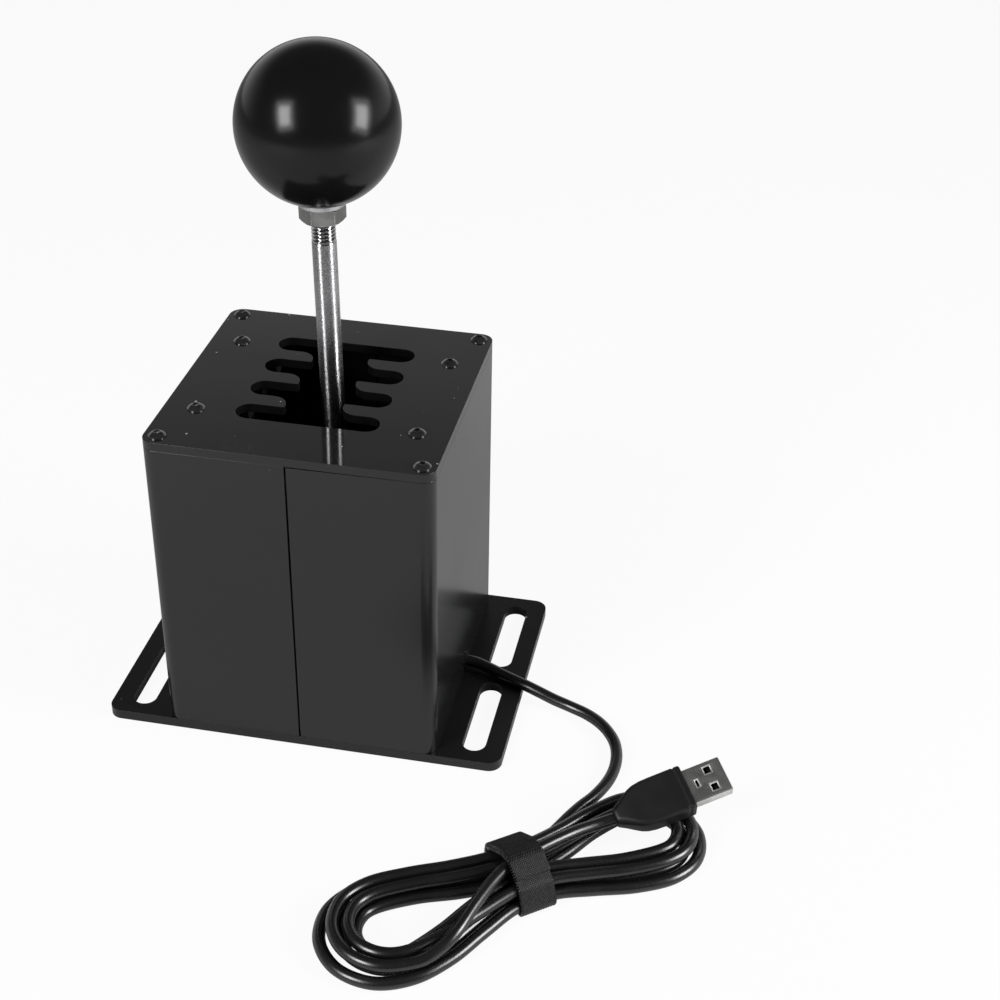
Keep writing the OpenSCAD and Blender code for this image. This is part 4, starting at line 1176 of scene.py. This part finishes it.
    @staticmethod
    def skin_strap(work: bmesh.types.BMesh, rows: list[list[bmesh.types.BMVert]]) -> None:
        """Joins the strap's rows of points into a closed band.

        Args:
            work: the geometry.
            rows: outer and inner row of each step, by turns.
        """
        outer, inner = rows[0::2], rows[1::2]
        for sheet in (outer, inner):
            for below, above in zip(sheet, sheet[1:]):
                for j in range(len(below) - 1):
                    work.faces.new((below[j], below[j + 1], above[j + 1], above[j]))
        for j in (0, -1):
            for a, b, c, d in zip(outer, outer[1:], inner, inner[1:]):
                work.faces.new((a[j], b[j], d[j], c[j]))
        for end in (0, -1):
            for j in range(len(outer[0]) - 1):
                work.faces.new((outer[end][j], outer[end][j + 1], inner[end][j + 1], inner[end][j]))

    @staticmethod
    def eased(share: float) -> float:
        """Gives a smooth step from 0 to 1."""
        share = min(1.0, max(0.0, share))
        return share * share * (3 - 2 * share)

    @staticmethod
    def on_outline(outline: list[Vector], lengths: list[float], run: float) -> tuple[Vector, Vector]:
        """Finds a point on a closed outline.

        Args:
            outline: its points, the first repeated at the end.
            lengths: length of each stretch.
            run: distance from the first point.

        Returns:
            The point and the direction outwards.
        """
        for start, end, length in zip(outline, outline[1:], lengths):
            if run <= length:
                ahead = (end - start).normalized()
                return start + ahead * run, Vector((ahead.y, -ahead.x))
            run -= length
        ahead = (outline[-1] - outline[-2]).normalized()
        return outline[-1].copy(), Vector((ahead.y, -ahead.x))

    def make_grip(self, finisher: Finisher) -> bpy.types.Object:
        """Makes the plug's moulded grip with its rounded edges.

        Args:
            finisher: gives the finish.

        Returns:
            The grip.
        """
        work = bmesh.new()
        rings = []
        for x, half_w, half_h, corner in self.grip_sections:
            ring = self.rounded_ring(half_w * MM, half_h * MM, corner * MM)
            rings.append([work.verts.new((x * MM, y, z)) for y, z in ring])
        skin(work, rings)
        work.transform(self.plug_frame)
        piece = new_piece("plug_grip_moulded", closed_mesh("plug_grip_moulded", work), Body.HOUSING,
                          ["plug_grip"])
        weigh_normals(piece)
        finisher.dress(piece, "plug_plastic")
        return piece

    @staticmethod
    def rounded_ring(half_w: float, half_h: float, corner: float) -> list[tuple[float, float]]:
        """Gives a rounded rectangle.

        Args:
            half_w: half its width.
            half_h: half its height.
            corner: radius of its corners.

        Returns:
            Points across and up, in order.
        """
        half_w, half_h = half_w - corner, half_h - corner
        ring = []
        corners = ((half_w, half_h), (-half_w, half_h), (-half_w, -half_h), (half_w, -half_h))
        for quarter, (x, y) in enumerate(corners):
            for k in range(CORNER_STEPS + 1):
                turn = math.pi / 2 * (quarter + k / CORNER_STEPS)
                ring.append((x + corner * math.cos(turn), y + corner * math.sin(turn)))
        return ring

    def make_shell(self, finisher: Finisher) -> bpy.types.Object:
        """Makes the plug's folded metal shell with its latch holes.

        Args:
            finisher: gives the finish.

        Returns:
            The shell.
        """
        work = bmesh.new()
        sections = []
        bevel = self.mouth_bevel
        for inset, corner, x in ((0.0, self.shell_corner, 0.0),
                                 (0.0, self.shell_corner, self.shell_l - bevel),
                                 (bevel, self.shell_corner - bevel, self.shell_l),
                                 (self.shell_wall, self.inner_corner, self.shell_l),
                                 (self.shell_wall, self.inner_corner, 0.0)):
            ring = self.rounded_ring(self.shell_w / 2 - inset, self.shell_h / 2 - inset, corner)
            sections.append([work.verts.new((x, y, z)) for y, z in ring])
        sections.append(sections[0])
        skin(work, sections, capped=False)
        work.transform(Matrix.Translation((self.grip_l, 0.0, 0.0)))
        cuts, lips = bmesh.new(), bmesh.new()
        hole = self.latch_hole
        latch = self.shell_l - self.latch_from_mouth
        through = 2 * self.shell_h
        for x, y, wide, deep, tall in ((latch, self.shell_w / 4, hole, hole, through),
                                       (latch, -self.shell_w / 4, hole, hole, through),
                                       (self.shell_l / 4, 0.0, self.key_slot_w, hole, self.shell_h)):
            made = bmesh.ops.create_cube(cuts, size=1.0)["verts"]
            bmesh.ops.scale(cuts, verts=made, vec=(wide, deep, tall))
            rise = self.shell_h / 2 if tall == self.shell_h else 0.0
            bmesh.ops.translate(cuts, verts=made, vec=(self.grip_l + x, y, rise))
            lip = bmesh.ops.create_cube(lips, size=1.0)["verts"]
            for held in lip:
                grow = self.hole_lip if held.co.z > 0 else -self.hole_lip / 4
                held.co = (math.copysign(wide / 2 + grow, held.co.x),
                           math.copysign(deep / 2 + grow, held.co.y),
                           self.shell_h / 2 + (self.lip_over if held.co.z > 0 else -self.lip_depth))
            bmesh.ops.translate(lips, verts=lip, vec=(self.grip_l + x, y, 0.0))
        mesh = closed_mesh("plug_shell_folded", work)
        for tool in (cuts, lips):
            mesh = cut_away(mesh, closed_mesh("plug_shell_holes", tool))
        # The lip faces get a rough, partly unmetallic finish that reads pale under any light: a painted
        # highlight on the hole rims.
        flat = self.shell_w / 2 - self.burr_margin
        low, high = self.burr_slope
        burrs = [face.index for face in mesh.polygons
                 if low < face.normal.z < high and abs(face.center.y) < flat and face.center.z > 0]
        log.info("plug shell has %d faces on its hole lips", len(burrs))
        mesh.transform(self.plug_frame)
        piece = new_piece("plug_shell_folded", mesh, Body.HOUSING, ["plug_shell"])
        finisher.dress(piece, "plug_nickel")
        mesh.materials.append(finisher.materials["plug_burr"])
        for burr in burrs:
            mesh.polygons[burr].material_index = 1
        return piece

    def make_contacts(self, finisher: Finisher) -> bpy.types.Object:
        """Makes the four contact strips on the plug's tongue.

        Args:
            finisher: gives the finish.

        Returns:
            The strips, as one piece.
        """
        work = bmesh.new()
        tongue_top = -self.shell_h / 2 + self.shell_wall + self.tongue_room + self.tongue_h
        rise = tongue_top + self.contact_size[2] / 2
        for across in self.contact_places_mm:
            made = bmesh.ops.create_cube(work, size=1.0)["verts"]
            bmesh.ops.scale(work, verts=made, vec=self.contact_size)
            place = (self.grip_l + self.contact_from_shell, across * MM, rise)
            bmesh.ops.translate(work, verts=made, vec=place)
        bmesh.ops.bevel(work, geom=list(work.edges), offset=self.contact_bevel, offset_type="OFFSET",
                        segments=2, profile=0.5, affect="EDGES", clamp_overlap=True)
        work.transform(self.plug_frame)
        piece = new_piece("plug_contacts", closed_mesh("plug_contacts", work), Body.HOUSING)
        finisher.dress(piece, "contact_gold")
        return piece


def cut_away(mesh: bpy.types.Mesh, tool: bpy.types.Mesh) -> bpy.types.Mesh:
    """Cuts one mesh out of another.

    Args:
        mesh: what is cut.
        tool: what cuts it.

    Returns:
        The cut mesh.
    """
    scene = bpy.context.scene.collection
    kept = bpy.data.objects.new("kept", mesh)
    cutter = bpy.data.objects.new("cutter", tool)
    scene.objects.link(kept)
    scene.objects.link(cutter)
    modifier = kept.modifiers.new("cut", "BOOLEAN")
    modifier.operation = "DIFFERENCE"
    modifier.solver = "EXACT"
    modifier.object = cutter
    graph = bpy.context.evaluated_depsgraph_get()
    result = bpy.data.meshes.new_from_object(kept.evaluated_get(graph))
    bpy.data.objects.remove(kept)
    bpy.data.objects.remove(cutter)
    result.set_sharp_from_angle(angle=math.radians(SHARP))
    return result


@dataclass
class Housing:
    """The box: plates and shells with softly rounded edges."""

    plate_edge: float = 0.18 * MM
    base_edge: float = 0.22 * MM
    shell_edge: float = 0.15 * MM
    plate_half: float = 47.0 * MM
    plate_foot: float = 111.0 * MM
    bend_from: float = 40.0 * MM
    seam: float = 0.38 * MM
    edge_band: float = 1.0 * MM
    upright: float = 0.6
    corner_share: float = 1.3

    def build(self, finisher: Finisher) -> None:
        """Makes the outside pieces of the box.

        Args:
            finisher: gives the finishes.
        """
        for node, edge, finish, slot in (
                ("gate_plate", self.plate_edge, "gate_paint", "gloss_plate"),
                ("base_plate", self.base_edge, "base_paint", "gloss_plate"),
                ("left_shell", self.shell_edge, "shell_paint", "satin_sheet"),
                ("right_shell", self.shell_edge, "shell_paint", "satin_sheet")):
            mesh = closed_mesh(f"{node}_painted", softened(node, edge))
            if node == "right_shell":
                self.draw_up(mesh)
            piece = new_piece(f"{node}_painted", mesh, Body.HOUSING, [node])
            weigh_normals(piece)
            finisher.dress(piece, finish)
            if node == "gate_plate":
                self.paint_edges(mesh, finisher)

    def draw_up(self, mesh: bpy.types.Mesh) -> None:
        """Draws the right shell's side up to the gate plate, where its seam runs out."""
        for held in mesh.vertices:
            if held.co.z > self.plate_foot - self.edge_band and held.co.x > self.bend_from:
                held.co.z += self.seam

    def paint_edges(self, mesh: bpy.types.Mesh, finisher: Finisher) -> None:
        """Gives the gate plate's outer edge the shells' paint and its slots a matt cut.

        Args:
            mesh: the plate.
            finisher: gives the finishes.
        """
        for finish in ("shell_paint", "slot_wall"):
            mesh.materials.append(finisher.materials[finish])
        for face in mesh.polygons:
            if abs(face.normal.z) < self.upright:
                outer = max(abs(face.center.x), abs(face.center.y)) > self.plate_half - self.edge_band
                at_corner = math.hypot(face.center.x, face.center.y) > self.plate_half * self.corner_share
                # index 2 gives the slot walls their painted shade
                face.material_index = 1 if outer or at_corner else 2


@dataclass
class Lever:
    """The ground rod with its cut thread, in the lever's leaning frame."""

    pivot: Point = (0.0, 9.8 * MM, 47.0 * MM)
    lean: float = math.radians(-0.8)
    rod_r: float = 4.0 * MM
    rod_foot: float = 12.04 * MM
    thread_foot: float = 114.52 * MM
    nut_foot: float = 121.52 * MM
    rod_top: float = 144.22 * MM
    crest_r: float = 3.92 * MM
    neck_r: float = 3.32 * MM
    pitch: float = 1.25 * MM
    flank_gain: float = 1.35
    root_flat: float = 0.1
    foot_bevel: float = 0.5 * MM
    steps: int = 48
    rows_per_turn: int = 12
    turns_in_nut: float = 1.5

    def leaning(self) -> Matrix:
        """Gives the lever's own frame at rest."""
        return Matrix.Translation(Vector(self.pivot)) @ Matrix.Rotation(self.lean, 4, "Y")

    def thread_radius(self, turn: float, height: float) -> float:
        """Gives the thread's radius at a turn and a height."""
        phase = ((height - self.thread_foot) / self.pitch - turn) % 1.0
        flank = min(1.0, max(0.0, self.flank_gain * (1 - abs(2 * phase - 1)) - self.root_flat))
        depth = self.crest_r - self.neck_r
        cut = self.neck_r + depth * flank
        run_in = min(1.0, max(0.0, (height - self.thread_foot + self.pitch / 2) / self.pitch))
        return self.rod_r + (cut - self.rod_r) * run_in

    def build(self, finisher: Finisher) -> None:
        """Makes the rod.

        Args:
            finisher: gives the finish.
        """
        work = bmesh.new()
        top = self.nut_foot + self.turns_in_nut * self.pitch
        rise = self.pitch / self.rows_per_turn
        first = self.thread_foot - self.pitch / 2
        heights = [first + k * rise for k in range(int((top - first) / rise) + 1)]
        rings = [self.plain_ring(work, self.rod_r - self.foot_bevel, self.rod_foot),
                 self.plain_ring(work, self.rod_r, self.rod_foot + self.foot_bevel)]
        for height in heights:
            radii = [self.thread_radius(k / self.steps, height) for k in range(self.steps)]
            rings.append([work.verts.new(self.round_point(r, k, height)) for k, r in enumerate(radii)])
        rings += [self.plain_ring(work, self.neck_r, top), self.plain_ring(work, self.neck_r, self.rod_top)]
        skin(work, rings)
        work.transform(self.leaning())
        piece = new_piece("lever_rod_ground", closed_mesh("lever_rod_ground", work), Body.LEVER,
                          ["lever_rod"])
        finisher.dress(piece, "ground_steel")
        piece.data.materials.append(finisher.materials["cut_thread"])
        upright = self.leaning().inverted()
        for face in piece.data.polygons:
            if (upright @ face.center).z > self.thread_foot - self.pitch / 2:
                face.material_index = 1

    def round_point(self, radius: float, k: int, height: float) -> Vector:
        """Gives a point round the rod's axis."""
        turn = 2 * math.pi * k / self.steps
        return Vector((radius * math.cos(turn), radius * math.sin(turn), height))

    def plain_ring(self, work: bmesh.types.BMesh, radius: float, height: float) -> list[bmesh.types.BMVert]:
        """Adds a round ring of points."""
        return [work.verts.new(self.round_point(radius, k, height)) for k in range(self.steps)]


@dataclass
class Springs:
    """The two centring springs on the pivot shaft."""

    wire: float = 0.8 * MM
    coil_r: float = 5.2 * MM
    shaft_z: float = 47.0 * MM
    seat: float = 38.0 * MM
    sleeve_front: float = 2.8 * MM
    sleeve_rear: float = 16.8 * MM
    end_room: float = 0.6 * MM
    steps: int = 20
    sides: int = 10

    def build(self, finisher: Finisher) -> None:
        """Winds both springs.

        Args:
            finisher: gives the finish.
        """
        for node, fixed, moving, coils in (("front_spring", -self.seat, self.sleeve_front, 9),
                                           ("rear_spring", self.seat, self.sleeve_rear, 5)):
            room = math.copysign(self.end_room, moving - fixed)
            start, end = fixed + room, moving - room
            points = []
            for k in range(self.steps * coils + 1):
                share = k / (self.steps * coils)
                turn = 2 * math.pi * coils * share
                points.append(Vector((self.coil_r * math.sin(turn), start + (end - start) * share,
                                      self.shaft_z + self.coil_r * math.cos(turn))))
            mesh = closed_mesh(f"{node}_wound", tube(points, self.wire / 2, self.sides))
            piece = bpy.data.objects.new(f"{node}_wound", mesh)
            bpy.context.scene.collection.objects.link(piece)
            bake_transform(piece)
            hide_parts(node)
            finisher.dress(piece, "turned_steel")


def main() -> None:
    """Builds the studio and the pieces in order."""
    logging.basicConfig(level=logging.INFO, format="%(name)s: %(message)s")
    Studio().build()
    finisher = Finisher()
    Cable().build(finisher)
    Housing().build(finisher)
    Lever().build(finisher)
    Springs().build(finisher)
    finisher.dress_nodes()
    bpy.context.view_layer.update()


if __name__ == "__main__":
    main()
